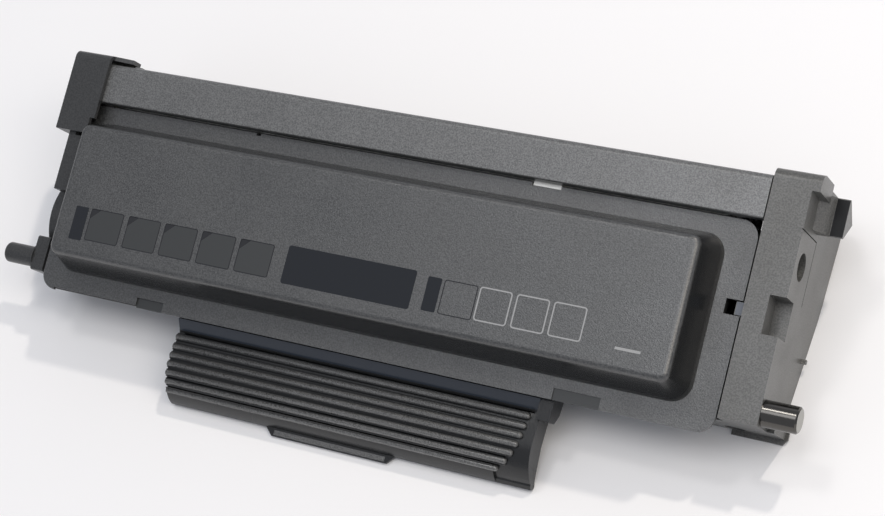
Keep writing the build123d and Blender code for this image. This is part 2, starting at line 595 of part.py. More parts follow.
def fill_plug():
    """Push-in plug of the filling hole, with a flange outside the wall."""
    plug = rod(*FILL, FILL_HOLE / 2, TUB_INNER_RIGHT, TUB_RIGHT)
    plug += rod(*FILL, FILL_HOLE / 2 + 1.5, TUB_RIGHT, TUB_RIGHT + 1.2)
    return plug - rod(*FILL, FILL_HOLE / 2 - 1.6, TUB_RIGHT + 0.2, TUB_RIGHT + 3)


def contact_plate(axis, shaft, y_end, z_end):
    """Conductive plate: a ring round a shaft's end and a tongue to the contact pad."""
    low = TUB_RIGHT + BUSH_FLANGE_THICK
    high = low + 0.9
    plate = rod(*axis, shaft + 2.2, low, high)
    y0, z0 = axis
    tongue = [(y0 - 2, z0 + 1), (y0 + 1, z0 + 3), (y_end + 2.4, z_end), (y_end - 2.4, z_end)]
    plate += prism(tongue, low, high)
    plate += block((low, high + 4), (y_end - 2.4, y_end + 2.4), (z_end - 0.2, z_end + 1.0))
    return plate - rod(*axis, shaft + 0.06, low - 1, high + 1)


def heel(inset, back=CAP_BACK):
    """Rounded rear corner of an end cap, low beside the roller, inset by a wall."""
    low = rest_z(HEEL_Y, HEEL_HEIGHT)
    return [(HEEL_Y, low + inset * hypot(1, REST_SLOPE)), (back - 3.2 - inset, low + 2.5 + inset),
            (back - inset, low + 11.0)]


def cap_profile(top, front, wall, back=CAP_BACK):
    """Side outline of an end cap, inset all round by a wall."""
    lower = wall * hypot(1, REST_SLOPE)
    return [(front + wall, top - wall), (front + wall, rest_z(front, 0) + lower + 0.6),
            (CAP_FOOT_FRONT, rest_z(CAP_FOOT_FRONT) + lower), (CAP_FOOT_BACK, rest_z(CAP_FOOT_BACK) + lower),
            *heel(wall, back), (back - wall, top - wall)]


def gear_cover(inset, low, high):
    """Flat cover over the gears with its round boss, inset all round by a wall."""
    lower = inset * hypot(1, REST_SLOPE)
    top = COVER_TOP - inset
    outline = [(TUB_FRONT + inset, -18.0 - inset), (TUB_FRONT + inset, rest_z(TUB_FRONT) + lower),
               (CAP_FOOT_FRONT, rest_z(CAP_FOOT_FRONT) + lower), (CAP_FOOT_BACK, rest_z(CAP_FOOT_BACK) + lower),
               *heel(inset), (CAP_BACK - inset, top),
               (SHOULDER_FRONT + inset, top), (SHOULDER_FRONT + inset, COUPLING_Z)]
    boss = rod(*COUPLING, BOSS_RADIUS - inset, low + BOSS_X - GEAR_CAP_X, high)
    front, back = COUPLING_Y - BOSS_RADIUS, COUPLING_Y + BOSS_RADIUS
    deep = COUPLING_Z - 2 * BOSS_RADIUS
    ground = [(front, rest_z(front) + lower), (back, rest_z(back) + lower), (back, deep), (front, deep)]
    return prism(outline, low, high) + (boss - prism(ground, GEAR_BLOCK_X, TUB_INNER_LEFT))


def gear_block(inset, low, high):
    """Rear block of the left cap, up beside the roller bar."""
    outline = [(BLOCK_FRONT + inset, BLOCK_TOP - inset), (BLOCK_FRONT + inset, -9.0 - inset),
               (BLOCK_FRONT + 6, -36.0 + inset), *heel(inset)[1:], (CAP_BACK - inset, BLOCK_TOP - inset)]
    body = prism(outline, low, high)
    rear_top = body.edges().filter_by(Axis.X).group_by(Axis.Z)[-1].sort_by(Axis.Y)[-1]
    return fillet(rear_top, BLOCK_ROUND - inset)


def rear_tongue():
    """Sloping end of the left cap's rear wall, behind the bar's end."""
    outline = Polyline((LIP_X - 2, BLOCK_TOP - BLOCK_ROUND), (LIP_X, BLOCK_TOP - BLOCK_ROUND), (8.4, 1.4),
                       (8.4, -3.0), (LIP_X - 2, -8.0), close=True)
    back = Plane.XZ.offset(-CAP_BACK) * make_face(outline)
    return extrude(back, amount=CAP_WALL)


def gear_end_cap():
    """Left cap: gear cover with the round boss, rear block, shoulder, arm and pin."""
    wall = CAP_WALL
    inner = TUB_LEFT - CAP_SEAT
    edge = FLANGE_LEFT - CAP_SEAT
    under = -LID_FLANGE - TUB_FLANGE - CAP_SEAT
    cap = gear_cover(0, GEAR_CAP_X, inner) + gear_block(0, GEAR_BLOCK_X, LIP_X)
    cap -= block((0.0, LIP_X + 1), (BLOCK_FRONT - 1, PAN_BACK), (-60, BLOCK_TOP + 1))
    cap += block((GEAR_CAP_X, 0.0), (SHOULDER_FRONT, BLOCK_FRONT + wall), (under, SHOULDER_TOP))
    # arm that carries the pin
    arm = block((ARM_X, ARM_INNER), (ARM_FRONT, ARM_BACK), (ARM_LOW, 0.0))
    cap += fillet(arm.edges().filter_by(Axis.X).group_by(Axis.Z)[-1], 1.0)
    cap += rod(PIN_Y, LEFT_PIN_Z, LEFT_PIN_RADIUS + 1.0, ARM_X - 0.6, ARM_X)
    pin = rod(PIN_Y, LEFT_PIN_Z, LEFT_PIN_RADIUS, ARM_X - LEFT_PIN_LENGTH, ARM_X + 2)
    cap += fillet(pin.edges().filter_by(GeomType.CIRCLE).sort_by(Axis.X)[0], 0.9)
    cap += rod(*COUPLING, HUB_RADIUS + 1.7, BOSS_X - 0.8, GEAR_CAP_X)
    cap += rear_tongue()
    # hollow it out, clear of the flange, the bar and every gear
    cap -= gear_cover(wall, GEAR_CAP_X + wall, inner + 1)
    cap -= gear_block(wall, GEAR_BLOCK_X + wall, LIP_X + 1)
    cap -= block((edge, 1), (SHOULDER_FRONT - 1, BAR_FRONT - CAP_SEAT), (under, CAP_SEAT))
    cap -= block((edge, 1), (SHOULDER_FRONT - 1, BLOCK_FRONT + wall), (under, SHOULDER_TOP - wall))
    cap -= block((edge, inner + 1), (ARM_FRONT - 1, BLOCK_FRONT + wall), (under, COVER_TOP + 1))
    cap -= block((edge, inner + 1), (BLOCK_FRONT - 1, CAP_BACK - wall), (-31.0, BLOCK_TOP - wall))
    for teeth, axis in OUTER_GEARS:
        cap -= rod(*axis, tip_radius(teeth) + CAP_SEAT, OUTER_LOW - CAP_SEAT, inner + 1)
    cap -= rod(*AGITATOR, tip_radius(AGITATOR_TEETH) + CAP_SEAT, INNER_LOW - CAP_SEAT, inner + 1)
    cap -= rod(*COUPLING, HUB_RADIUS + 0.4, BOSS_X - 5, GEAR_CAP_X + 5)
    for y, z in LEFT_BOSSES:
        if hypot(y - COUPLING_Y, z - COUPLING_Z) < BOSS_RADIUS:
            cap += rod(y, z, SCREW_HEAD + 1.5, BOSS_X + wall / 2, GEAR_CAP_X + wall)
            cap -= rod(y, z, SCREW_HEAD + 0.4, BOSS_X - 1, GEAR_CAP_X)
        cap -= rod(y, z, SCREW_SHANK + 0.2, GEAR_CAP_X - 5, GEAR_CAP_X + 3)
    return cap


def contact_end_cap():
    """Right cap: side wall, top, rear wing, latch pocket, lug, pin boss and front plate."""
    wall = CAP_WALL
    left, right = CONTACT_CAP_LEFT, CONTACT_CAP_X
    cap = prism(cap_profile(CONTACT_TOP, CONTACT_FRONT, 0), left, right)
    cap -= prism(cap_profile(CONTACT_TOP, CONTACT_FRONT, wall), left - 1, right - wall)
    under = -LID_FLANGE - TUB_FLANGE - CAP_SEAT
    back = BAR_BACK - BAR_WALL - CAP_SEAT
    skirt = prism(cap_profile(under, CONTACT_FRONT, 0, back), TUB_RIGHT + CAP_SEAT, left + wall)
    cap += skirt - prism(cap_profile(under + wall, CONTACT_FRONT, wall, back), TUB_RIGHT, left + 2 * wall)
    wing = block((right - 2, WING_X), (WING_FRONT, CAP_BACK), (-10.0, CONTACT_TOP))
    cap += wing
    rear_top = cap.edges().filter_by(Axis.X).group_by(Axis.Z)[-1].group_by(Axis.Y)[-1]
    cap = fillet(rear_top, CONTACT_ROUND)
    cap += contact_lug()
    # latch pocket
    cap += block((236.8, right), (29.6, 44.0), (-6.4, CONTACT_TOP - 0.2))
    cap -= block((238.3, right + 1), (31.0, 42.6), (-5.0, CONTACT_TOP + 1))
    # tongue that reaches into the flange's slot
    cap += block((left - 3.4, left + wall), (35.5, 39.5), (-2.2, -0.7))
    cap += block((left, left + wall), (35.5, 39.5), (-2.2, CONTACT_TOP - 1))
    # boss of the steel pin, front plate below it
    cap += rod(PIN_Y, RIGHT_PIN_Z, RIGHT_PIN_RADIUS + 1.8, right - PIN_ROOT - 1, right)
    cap = cap & block((TUB_RIGHT, WING_X + 12), (CONTACT_FRONT, 90), (-60, CONTACT_TOP))
    cap += foot_plate()
    cap += screw_cups()
    cap -= rod(PIN_Y, RIGHT_PIN_Z, PIN_ROOT_RADIUS, right - PIN_ROOT, right + 1)
    cap -= rod(EYE_Y, EYE_Z, EYE_RADIUS, right - EYE_DEPTH, right + 1)
    cap -= rod(EYE_Y, EYE_Z, SCREW_SHANK + 0.2, left, right)
    x, z = FRONT_SCREW
    cap -= Pos(x, CONTACT_FRONT, z) * Cylinder(SCREW_HEAD + 0.6, 2 * FRONT_SCREW_DEPTH, rotation=(90, 0, 0))
    cap -= Pos(x, CONTACT_FRONT, z) * Cylinder(SCREW_SHANK + 0.2, 16, rotation=(90, 0, 0))
    # seam of the snap panel round the hole
    cap -= block((right - 0.5, right + 1), (62.8, 63.2), (-14.4, CONTACT_TOP + 1))
    cap -= block((right - 0.5, right + 1), (43.4, 63.2), (-14.8, -14.4))
    nib = prism([(29.0, -28.0), (30.2, -28.4), (30.0, -29.6), (28.8, -29.2)], right - 0.5, right + 1.6)
    return cap + nib


def foot_plate():
    """Thin foot in front of the right cap, with the leg that carries its end."""
    right = CONTACT_CAP_X
    low = rest_z(CONTACT_FRONT - 1.6)
    plan = make_face(Polyline((TUB_RIGHT + 8, CONTACT_FRONT - 1.6), (right + 1.4, CONTACT_FRONT - 1.6),
                              (right + 2.8, CONTACT_FRONT + 0.2), (right + 2.8, CONTACT_FRONT + 4),
                              (TUB_RIGHT + 8, CONTACT_FRONT + 4), close=True))
    plate = extrude(Pos(0, 0, low) * plan, amount=1.0)
    leg = block((right - 0.4, right + 2.0), (CONTACT_FRONT, CONTACT_FRONT + 2.4), (low, -9.0))
    return plate + leg + block((right - 9, right), (CONTACT_FRONT, CONTACT_FRONT + 3), (low, low + 3))


def screw_cups():
    """Cups in the right cap that the two screws are sunk in."""
    right = CONTACT_CAP_X
    eye = rod(EYE_Y, EYE_Z, EYE_RADIUS + EYE_WALL, right - EYE_DEPTH - CAP_WALL, right)
    x, z = FRONT_SCREW
    depth = FRONT_SCREW_DEPTH + CAP_WALL
    return eye + Pos(x, CONTACT_FRONT + depth / 2, z) * Cylinder(SCREW_HEAD + 1.8, depth, rotation=(90, 0, 0))


def contact_lug():
    """Flared root and V shaped lug at the rear of the right cap."""
    low, high = CAP_BACK - 14.8, CAP_BACK - 3.1
    middle = (low + high) / 2
    flare = Plane.YZ.offset(CONTACT_CAP_X - 0.5) * polygon([(low, -6.0), (high, -6.0), (high, -14.0),
                                                            (middle, -22.0), (low, -14.0)])
    section = [(low, -12.6), (high, -12.6), (high, -13.4), (middle, -20.6), (low, -13.4)]
    root = loft([flare, Plane.YZ.offset(LUG_ROOT) * polygon(section)])
    lug = prism(section, LUG_ROOT - 0.1, LUG_END)
    return root + lug


def guide_pin():
    """Turned steel pin, shouldered against the right cap."""
    pin = rod(PIN_Y, RIGHT_PIN_Z, RIGHT_PIN_RADIUS, CONTACT_CAP_X, CONTACT_CAP_X + RIGHT_PIN_LENGTH)
    pin = chamfer(pin.edges().filter_by(GeomType.CIRCLE).sort_by(Axis.X)[-1], PIN_CHAMFER)
    return pin + rod(PIN_Y, RIGHT_PIN_Z, PIN_ROOT_RADIUS, CONTACT_CAP_X - PIN_ROOT, CONTACT_CAP_X)


def grip_line(height):
    """Curve of the grip from its neck over the crest to the nose, moved out by a height."""
    points = []
    for k, (y, z) in enumerate(GRIP_TOPS):
        before = GRIP_TOPS[max(k - 1, 0)]
        after = GRIP_TOPS[min(k + 1, len(GRIP_TOPS) - 1)]
        along_y, along_z = after[0] - before[0], after[1] - before[1]
        length = hypot(along_y, along_z)
        points.append((y + height * along_z / length, z - height * along_y / length))
    return Spline(*[Vector(y, z) for y, z in points])


def grip_strip(top, bottom, low, high):
    """Slice of the grip between two heights over its curve."""
    upper, lower = grip_line(top), grip_line(bottom)
    loop = [upper, Line(upper @ 1, lower @ 1), lower, Line(lower @ 0, upper @ 0)]
    face = make_face(loop)
    return extrude(Plane.YZ.offset(low) * face, amount=high - low, dir=(1, 0, 0))


def rib_plan(rear, right):
    """Upright block with a round right end, as wide as a rib."""
    reach = RIB_WIDTH / 2
    middle = rear - reach
    body = block((GRIP_LEFT - 1, right - reach), (rear - RIB_WIDTH, rear), (-30, 10))
    return body + Pos(right - reach, middle, -10) * Cylinder(reach, 40)


def grip_ribs():
    """Ribs on the grip's skin, rounded along their tops, and the smooth nose below them."""
    raised = grip_strip(0, -GRIP_PAD - 0.4, GRIP_LEFT, GRIP_RIGHT)
    ribs = []
    for rear, right in RIBS:
        rib = (raised & rib_plan(rear, right)).solids()[0]
        ribs.append(fillet(rib.faces().sort_by(Axis.Z)[-1].edges(), RIB_EDGE))
    rear, right = NOSE_PAD
    ribs.append(raised & block((GRIP_LEFT - 1, right), (NOSE_Y - 3, rear), (-30, 10)))
    return ribs


def carry_handle():
    """Ribbed grip on two end walls, joined to the hopper by its neck."""
    root_y = TUB_FRONT
    under = -LID_FLANGE - TUB_FLANGE
    neck_y, neck_z = NECK
    handle = grip_strip(-GRIP_PAD, -GRIP_PAD - GRIP_SKIN, GRIP_LEFT, GRIP_RIGHT)
    for rib in grip_ribs():
        handle += rib
    handle += prism([(root_y, under), (0.4, under), (neck_y, neck_z), (neck_y - 0.6, neck_z - GRIP_SKIN + 0.6),
                     (-0.4, under - 2.6), (root_y, under - 2.6)], GRIP_LEFT, GRIP_RIGHT)
    nose_z = GRIP_TOPS[-1][1]
    foot_y = NOSE_Y + 1.0
    foot_z = rest_z(foot_y)
    handle += prism([(NOSE_Y + 0.9, nose_z + 0.9), (NOSE_Y - 0.1, nose_z - 0.1), (NOSE_Y + 0.1, foot_z + 0.7),
                     (foot_y, foot_z), (foot_y + 1.2, foot_z + 0.4), (foot_y + 2.4, nose_z + 1.4)],
                    GRIP_LEFT, GRIP_RIGHT)
    side = [(root_y, under), (0.4, under), NECK, (-8.0, -5.2), (-16.0, -4.6), (-20.2, -5.8), (-24.4, -9.4),
            (foot_y, nose_z), (foot_y, foot_z + 0.2), (foot_y + 2, foot_z + 1.0),
            (-14, -12.5), (-3, -13.5), (root_y, -19.0)]
    for low in (GRIP_LEFT, GRIP_RIGHT - GRIP_SKIN):
        handle += prism(side, low, low + GRIP_SKIN)
    lug = [(root_y, under), (-6.5, under), (-6.5, -7.5), (-3.5, -10.5), (root_y, -12.0)]
    handle += prism(lug, GRIP_RIGHT - 0.5, GRIP_RIGHT + 4.0)
    lip = make_face(Polyline((LIP_LEFT, NOSE_Y + 1), (LIP_RIGHT, NOSE_Y + 1), (LIP_RIGHT - 3.5, NOSE_Y - LIP_REACH),
                             (LIP_LEFT + 3.5, NOSE_Y - LIP_REACH), close=True))
    handle += extrude(Pos(0, 0, LIP_Z - 1.0) * lip, amount=1.0)
    return handle


def cap_screws(places, face, side):
    """Screws through an end cap into the hopper's bosses."""
    return [Pos(face, y, z) * Rot(0, 90 * side, 0) * screw(7.0) for y, z in places]


def contact_cap_screws():
    """Screw at the bottom of the round hole and screw sunk in the cap's front."""
    x, z = FRONT_SCREW
    front = Pos(x, CONTACT_FRONT + FRONT_SCREW_DEPTH, z) * Rot(90, 0, 0) * screw(7.0)
    return cap_screws([(EYE_Y, EYE_Z)], CONTACT_CAP_X - EYE_DEPTH, 1) + [front]


def at_rest(shape):
    """The shape turned to lie on the resting plane."""
    return Rot(degrees(atan2(REST_SLOPE, 1)), 0, 0) * shape


def add(name, shape):
    """Keep a shape, or a group of separate solids, under its node name."""
    pieces = shape if isinstance(shape, list) else [shape]
    solids = [solid for piece in pieces for solid in at_rest(piece).solids()]
    PARTS[name] = solids[0] if len(solids) == 1 else Compound(solids)


def build():
    """Make every sub-part and set the whole on the ground, centred."""
    add("hopper_casing", hopper_casing())
    add("hopper_lid", hopper_lid())
    add("roller_bar_cover", roller_bar_cover())
    add("gear_end_cap", gear_end_cap())
    add("contact_end_cap", contact_end_cap())
    add("guide_pin", guide_pin())
    add("carry_handle", carry_handle())
    shaft_right = TUB_RIGHT + 2.4
    add("developer_shaft", roller_shaft(DEV, DEV_SHAFT, shaft_right))
    add("developer_sleeve", sleeve(DEV, DEV_RADIUS, DEV_SHAFT, ROLLER_INSET))
    add("supply_shaft", roller_shaft(SUPPLY, SUPPLY_SHAFT, shaft_right))
    add("supply_foam", sleeve(SUPPLY, SUPPLY_RADIUS, SUPPLY_SHAFT, FOAM_INSET))
    add("blade_bracket", blade_bracket())
    add("doctor_blade", doctor_blade())
    add("blade_screws", blade_screws())
    add("developer_bush_left", bush(DEV, BUSH_RADIUS, DEV_SHAFT, -1))
    add("developer_bush_right", bush(DEV, BUSH_RADIUS, DEV_SHAFT, 1))
    add("supply_bush_left", bush(SUPPLY, BUSH_RADIUS - 0.8, SUPPLY_SHAFT, -1))
    add("supply_bush_right", bush(SUPPLY, BUSH_RADIUS - 0.8, SUPPLY_SHAFT, 1))
    add("roller_end_seals", roller_end_seals())
    add("lip_seal_film", lip_seal_film())
    add("agitator_shaft", agitator_shaft())
    add("agitator_film", agitator_film())
    add("agitator_seal", agitator_seal())
    add("drive_coupling", drive_coupling())
    add("front_idler_gear", idler(FRONT_IDLER_TEETH, FRONT_PHASE, FRONT_IDLER))
    add("rear_idler_gear", idler(REAR_IDLER_TEETH, REAR_PHASE, REAR_IDLER))
    add("developer_gear", shaft_gear(DEV_TEETH, DEV_PHASE, DEV, DEV_SHAFT))
    add("supply_gear", shaft_gear(SUPPLY_TEETH, SUPPLY_PHASE, SUPPLY, SUPPLY_SHAFT))
    add("agitator_gear", agitator_gear())
    add("developer_contact", contact_plate(DEV, DEV_SHAFT, DEV[0] - 7.5, DEV[1] + 11.5))
    add("supply_contact", contact_plate(SUPPLY, SUPPLY_SHAFT, SUPPLY[0] - 9.0, SUPPLY[1] + 11.4))
    add("fill_plug", fill_plug())
    add("gear_cap_screws", cap_screws(LEFT_BOSSES, GEAR_CAP_X, -1))
    add("contact_cap_screws", contact_cap_screws())


def place():
    """Put the origin under the middle of the whole, on the ground."""
    box = Compound(list(PARTS.values())).bounding_box()
    shift = (-(box.min.X + box.max.X) / 2, -(box.min.Y + box.max.Y) / 2, -box.min.Z)
    return {name: Pos(*shift) * shape for name, shape in PARTS.items()}, shift


build()
PLACED, SHIFT = place()
for node, shape in PLACED.items():
    export_step(shape, f"parts/{node}.step")
print("moved by", [round(v, 4) for v in SHIFT])
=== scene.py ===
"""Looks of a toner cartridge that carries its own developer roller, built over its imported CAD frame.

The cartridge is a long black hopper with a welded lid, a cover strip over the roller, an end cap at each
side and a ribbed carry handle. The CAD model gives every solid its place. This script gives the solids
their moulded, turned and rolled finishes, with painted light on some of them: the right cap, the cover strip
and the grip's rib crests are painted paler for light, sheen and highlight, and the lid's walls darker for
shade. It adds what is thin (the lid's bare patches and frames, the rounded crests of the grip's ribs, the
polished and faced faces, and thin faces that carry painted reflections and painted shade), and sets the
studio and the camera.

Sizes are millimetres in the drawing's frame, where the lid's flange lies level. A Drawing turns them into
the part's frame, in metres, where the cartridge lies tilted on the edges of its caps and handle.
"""

from __future__ import annotations

import json
import logging
import math
from collections.abc import Iterable
from dataclasses import dataclass, replace
from enum import Enum

import bmesh
import bpy
from mathutils import Matrix, Vector

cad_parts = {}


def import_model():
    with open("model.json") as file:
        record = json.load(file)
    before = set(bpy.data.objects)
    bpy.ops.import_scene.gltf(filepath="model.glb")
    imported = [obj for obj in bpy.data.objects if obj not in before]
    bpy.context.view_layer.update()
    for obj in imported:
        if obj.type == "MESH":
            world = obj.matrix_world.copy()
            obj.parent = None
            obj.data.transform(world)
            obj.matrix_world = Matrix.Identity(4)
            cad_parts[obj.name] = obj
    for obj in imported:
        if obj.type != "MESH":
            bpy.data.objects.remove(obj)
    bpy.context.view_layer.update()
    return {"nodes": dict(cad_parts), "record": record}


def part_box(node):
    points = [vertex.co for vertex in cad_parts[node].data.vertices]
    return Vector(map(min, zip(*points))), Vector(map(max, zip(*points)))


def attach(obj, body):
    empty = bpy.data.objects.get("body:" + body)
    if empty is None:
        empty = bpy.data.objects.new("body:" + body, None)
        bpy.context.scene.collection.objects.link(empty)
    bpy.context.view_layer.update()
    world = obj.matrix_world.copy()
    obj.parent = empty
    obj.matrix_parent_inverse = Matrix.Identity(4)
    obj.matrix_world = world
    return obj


LOG = logging.getLogger("toner_cartridge")

# Low and high limit along one axis.
Span = tuple[float, float]
# Low and high limit along x, then along y.
Field = tuple[float, float, float, float]
# Place or direction.
Point = tuple[float, float, float]

# Metres in a millimetre, and a pattern's scale for a repeat of one millimetre.
MM = 0.001
PER_METRE = 1000.0
# Width of the photograph's frame in pixels, and of the camera's sensor in millimetres.
IMAGE_WIDTH = 885
SENSOR_WIDTH = 36.0
# Body that every new piece is fixed to.
BODY = "cartridge_body"
# Middle of the steel guide pin's right end, in the drawing's frame.
PIN_END = (254.0, 9.4, -0.7)
# Millimetres within which two vertices are one, and within which a vertex is at a limit.
MERGE_MM = 0.0005
NEAR_MM = 0.01
# Steps of each rounded corner.
CORNER_STEPS = 5
# Numbers of the Mix node's sockets A, B and Result, which carry the same names for numbers and for colours.
MIX_FLOAT = (2, 3, 0)
MIX_COLOUR = (6, 7, 2)


class Cut(Enum):
    """What a rounding is cut on."""

    EDGES = "EDGES"
    CORNERS = "VERTICES"


class ShaderInput(Enum):
    """Inputs of the shader that the lid's walls change."""

    COLOUR = "Base Color"
    ROUGHNESS = "Roughness"


@dataclass(frozen=True)
class Drawing:
    """Frame that the cartridge is drawn in, with its lid level, and its place in the part's frame.

    Its shift is in metres, and its slope is the tangent of the tilt between the two frames.
    """

    shift: Vector
    slope: float = 0.325

    @classmethod
    def from_pin(cls) -> "Drawing":
        """Find the drawing's place from the steel guide pin, whose end and axis are known in both frames.

        Returns:
            The drawing, with its shift in metres.
        """
        low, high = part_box("guide_pin")
        turned = cls(Vector()).turn(Vector(PIN_END))
        middle = (low + high) / 2
        return cls(Vector((high.x, middle.y, middle.z)) - turned * MM)

    def rotation(self) -> Matrix:
        """Return the tilt that lays the cartridge down on its resting edges."""
        return Matrix.Rotation(math.atan(self.slope), 3, "X")

    def turn(self, vector: Vector) -> Vector:
        """Turn a direction of the drawing into the part's frame."""
        return self.rotation() @ vector

    def place(self, x: float, y: float, z: float) -> Vector:
        """Return a drawing's point in metres in the part's frame."""
        return self.turn(Vector((x, y, z))) * MM + self.shift

    def matrix(self) -> Matrix:
        """Return the matrix from millimetres of the drawing to metres of the part's frame."""
        return Matrix.Translation(self.shift) @ self.rotation().to_4x4() @ Matrix.Scale(MM, 4)


def linear(code: str) -> tuple[float, float, float, float]:
    """Turn an sRGB hex colour into Blender's linear values, by the sRGB standard's own curve.

    Args:
        code: colour as "#rrggbb".

    Returns:
        Linear red, green, blue and an alpha of 1.
    """
    parts = [int(code[i:i + 2], 16) / 255 for i in (1, 3, 5)]
    flat = [c / 12.92 if c <= 0.04045 else ((c + 0.055) / 1.055) ** 2.4 for c in parts]
    return (flat[0], flat[1], flat[2], 1.0)


def add_node(tree: bpy.types.NodeTree, kind: str, settings: dict | None = None,
             links: dict | None = None) -> bpy.types.Node:
    """Add one node with its settings and links.

    Args:
        tree: node tree of a material or the world.
        kind: Blender's name of the node type.
        settings: attributes of the node, or values of its inputs by name or number.
        links: input name or number to the output socket that feeds it.

    Returns:
        The new node.
    """
    node = tree.nodes.new(kind)
    for key, value in (settings or {}).items():
        if isinstance(key, str) and hasattr(node, key) and key not in node.inputs:
            setattr(node, key, value)
        else:
            node.inputs[key].default_value = value
    for key, socket in (links or {}).items():
        tree.links.new(socket, node.inputs[key])
    return node


def object_place(tree: bpy.types.NodeTree) -> bpy.types.NodeSocket:
    """Add the Object coordinates, which stay with a piece as it moves."""
    return add_node(tree, "ShaderNodeTexCoord").outputs["Object"]


@dataclass(frozen=True)
class Finish:
    """A finish of one colour all over, with an even gloss.

    Subclasses add the grain, marks or wear of their own making in their dress method.
    """

    name: str
    colour: str
    roughness: float
    metallic: float = 0.0
    ior: float = 1.5
    specular: float = 0.5

    def material(self) -> bpy.types.Material:
        """Return the finish's material, made at its first use."""
        made = bpy.data.materials.get(self.name)
        return made if made else self.build()

    def build(self) -> bpy.types.Material:
        """Build the material: the plain shader, then the finish's own colour, gloss and relief.

        Returns:
            The new material.
        """
        material = bpy.data.materials.new(self.name)
        material.use_nodes = True
        tree = material.node_tree
        tree.nodes.clear()
        settings = {"Base Color": linear(self.colour), "Roughness": self.roughness,
                    "Metallic": self.metallic, "Specular IOR Level": self.specular}
        if not self.metallic:
            settings["IOR"] = self.ior
        shader = add_node(tree, "ShaderNodeBsdfPrincipled", settings)
        self.dress(tree, shader)
        add_node(tree, "ShaderNodeOutputMaterial", links={"Surface": shader.outputs["BSDF"]})
        material.diffuse_color = linear(self.colour)
        return material

    def dress(self, tree: bpy.types.NodeTree, shader: bpy.types.Node) -> None:
        """Leave the plain shader as it is."""


@dataclass(frozen=True)
class MouldedPlastic(Finish):
    """Injection moulded plastic: the mould's spark eroded grain, pale specks on it and faint handling marks.

    Real grain of this kind is 0.1 to 0.2 mm wide, under a pixel of the render, so most of it is drawn
    coarser, as wide as it needs to show. Its height is a share of its width. The handling marks are some
    18 mm wide, 55 to a metre, and the specks are a little wider than the grain. The two spreads are where a
    noise's values mostly lie.
    """

    grain_mm: float = 0.45
    grain_depth: float = 0.25
    grain_height: float = 0.25
    mottle: float = 0.06
    marks_per_metre: float = 55.0
    marks_spread: Span = (0.3, 0.7)
    speck: float = 0.0
    speck_scale: float = 0.9
    speck_spread: Span = (0.35, 0.65)

    def dress(self, tree: bpy.types.NodeTree, shader: bpy.types.Node) -> None:
        """Add the mould's grain as relief and specks, and a faint unevenness of the gloss.

        Args:
            tree: the material's node tree.
            shader: its Principled shader.
        """
        place = object_place(tree)
        grain = add_node(tree, "ShaderNodeTexNoise",
                         {"Scale": PER_METRE / self.grain_mm, "Detail": 2.0, "Roughness": 0.6},
                         {"Vector": place})
        relief = add_node(tree, "ShaderNodeBump",
                          {"Strength": self.grain_depth, "Distance": self.grain_mm * MM * self.grain_height},
                          {"Height": grain.outputs["Fac"]})
        marks = add_node(tree, "ShaderNodeTexNoise", {"Scale": self.marks_per_metre, "Detail": 3.0},
                         {"Vector": place})
        low, high = self.marks_spread
        gloss = add_node(tree, "ShaderNodeMapRange",
                         {"From Min": low, "From Max": high, "To Min": self.roughness - self.mottle,
                          "To Max": self.roughness + self.mottle},
                         {"Value": marks.outputs["Fac"]})
        tree.links.new(relief.outputs["Normal"], shader.inputs["Normal"])
        tree.links.new(gloss.outputs["Result"], shader.inputs["Roughness"])
        if self.speck:
            self.colour_specks(tree, shader, place)

    def colour_specks(self, tree: bpy.types.NodeTree, shader: bpy.types.Node,
                      place: bpy.types.NodeSocket) -> None:
        """Let the colour vary from grain to grain.

        Args:
            tree: the material's node tree.
            shader: its Principled shader.
            place: Object coordinates.
        """
        dots = add_node(tree, "ShaderNodeTexNoise",
                        {"Scale": PER_METRE * self.speck_scale / self.grain_mm, "Detail": 1.0,
                         "Roughness": 0.5},
                        {"Vector": place})
        shade = linear(self.colour)
        dark = tuple(value * (1 - self.speck) for value in shade[:3]) + (1.0,)
        pale = tuple(value * (1 + self.speck) for value in shade[:3]) + (1.0,)
        low, high = self.speck_spread
        share = add_node(tree, "ShaderNodeMapRange", {"From Min": low, "From Max": high},
                         {"Value": dots.outputs["Fac"]})
        first, second, mixed = MIX_COLOUR
        tint = add_node(tree, "ShaderNodeMix", {"data_type": "RGBA", first: dark, second: pale},
                        {0: share.outputs["Result"]})
        tree.links.new(tint.outputs[mixed], shader.inputs["Base Color"])


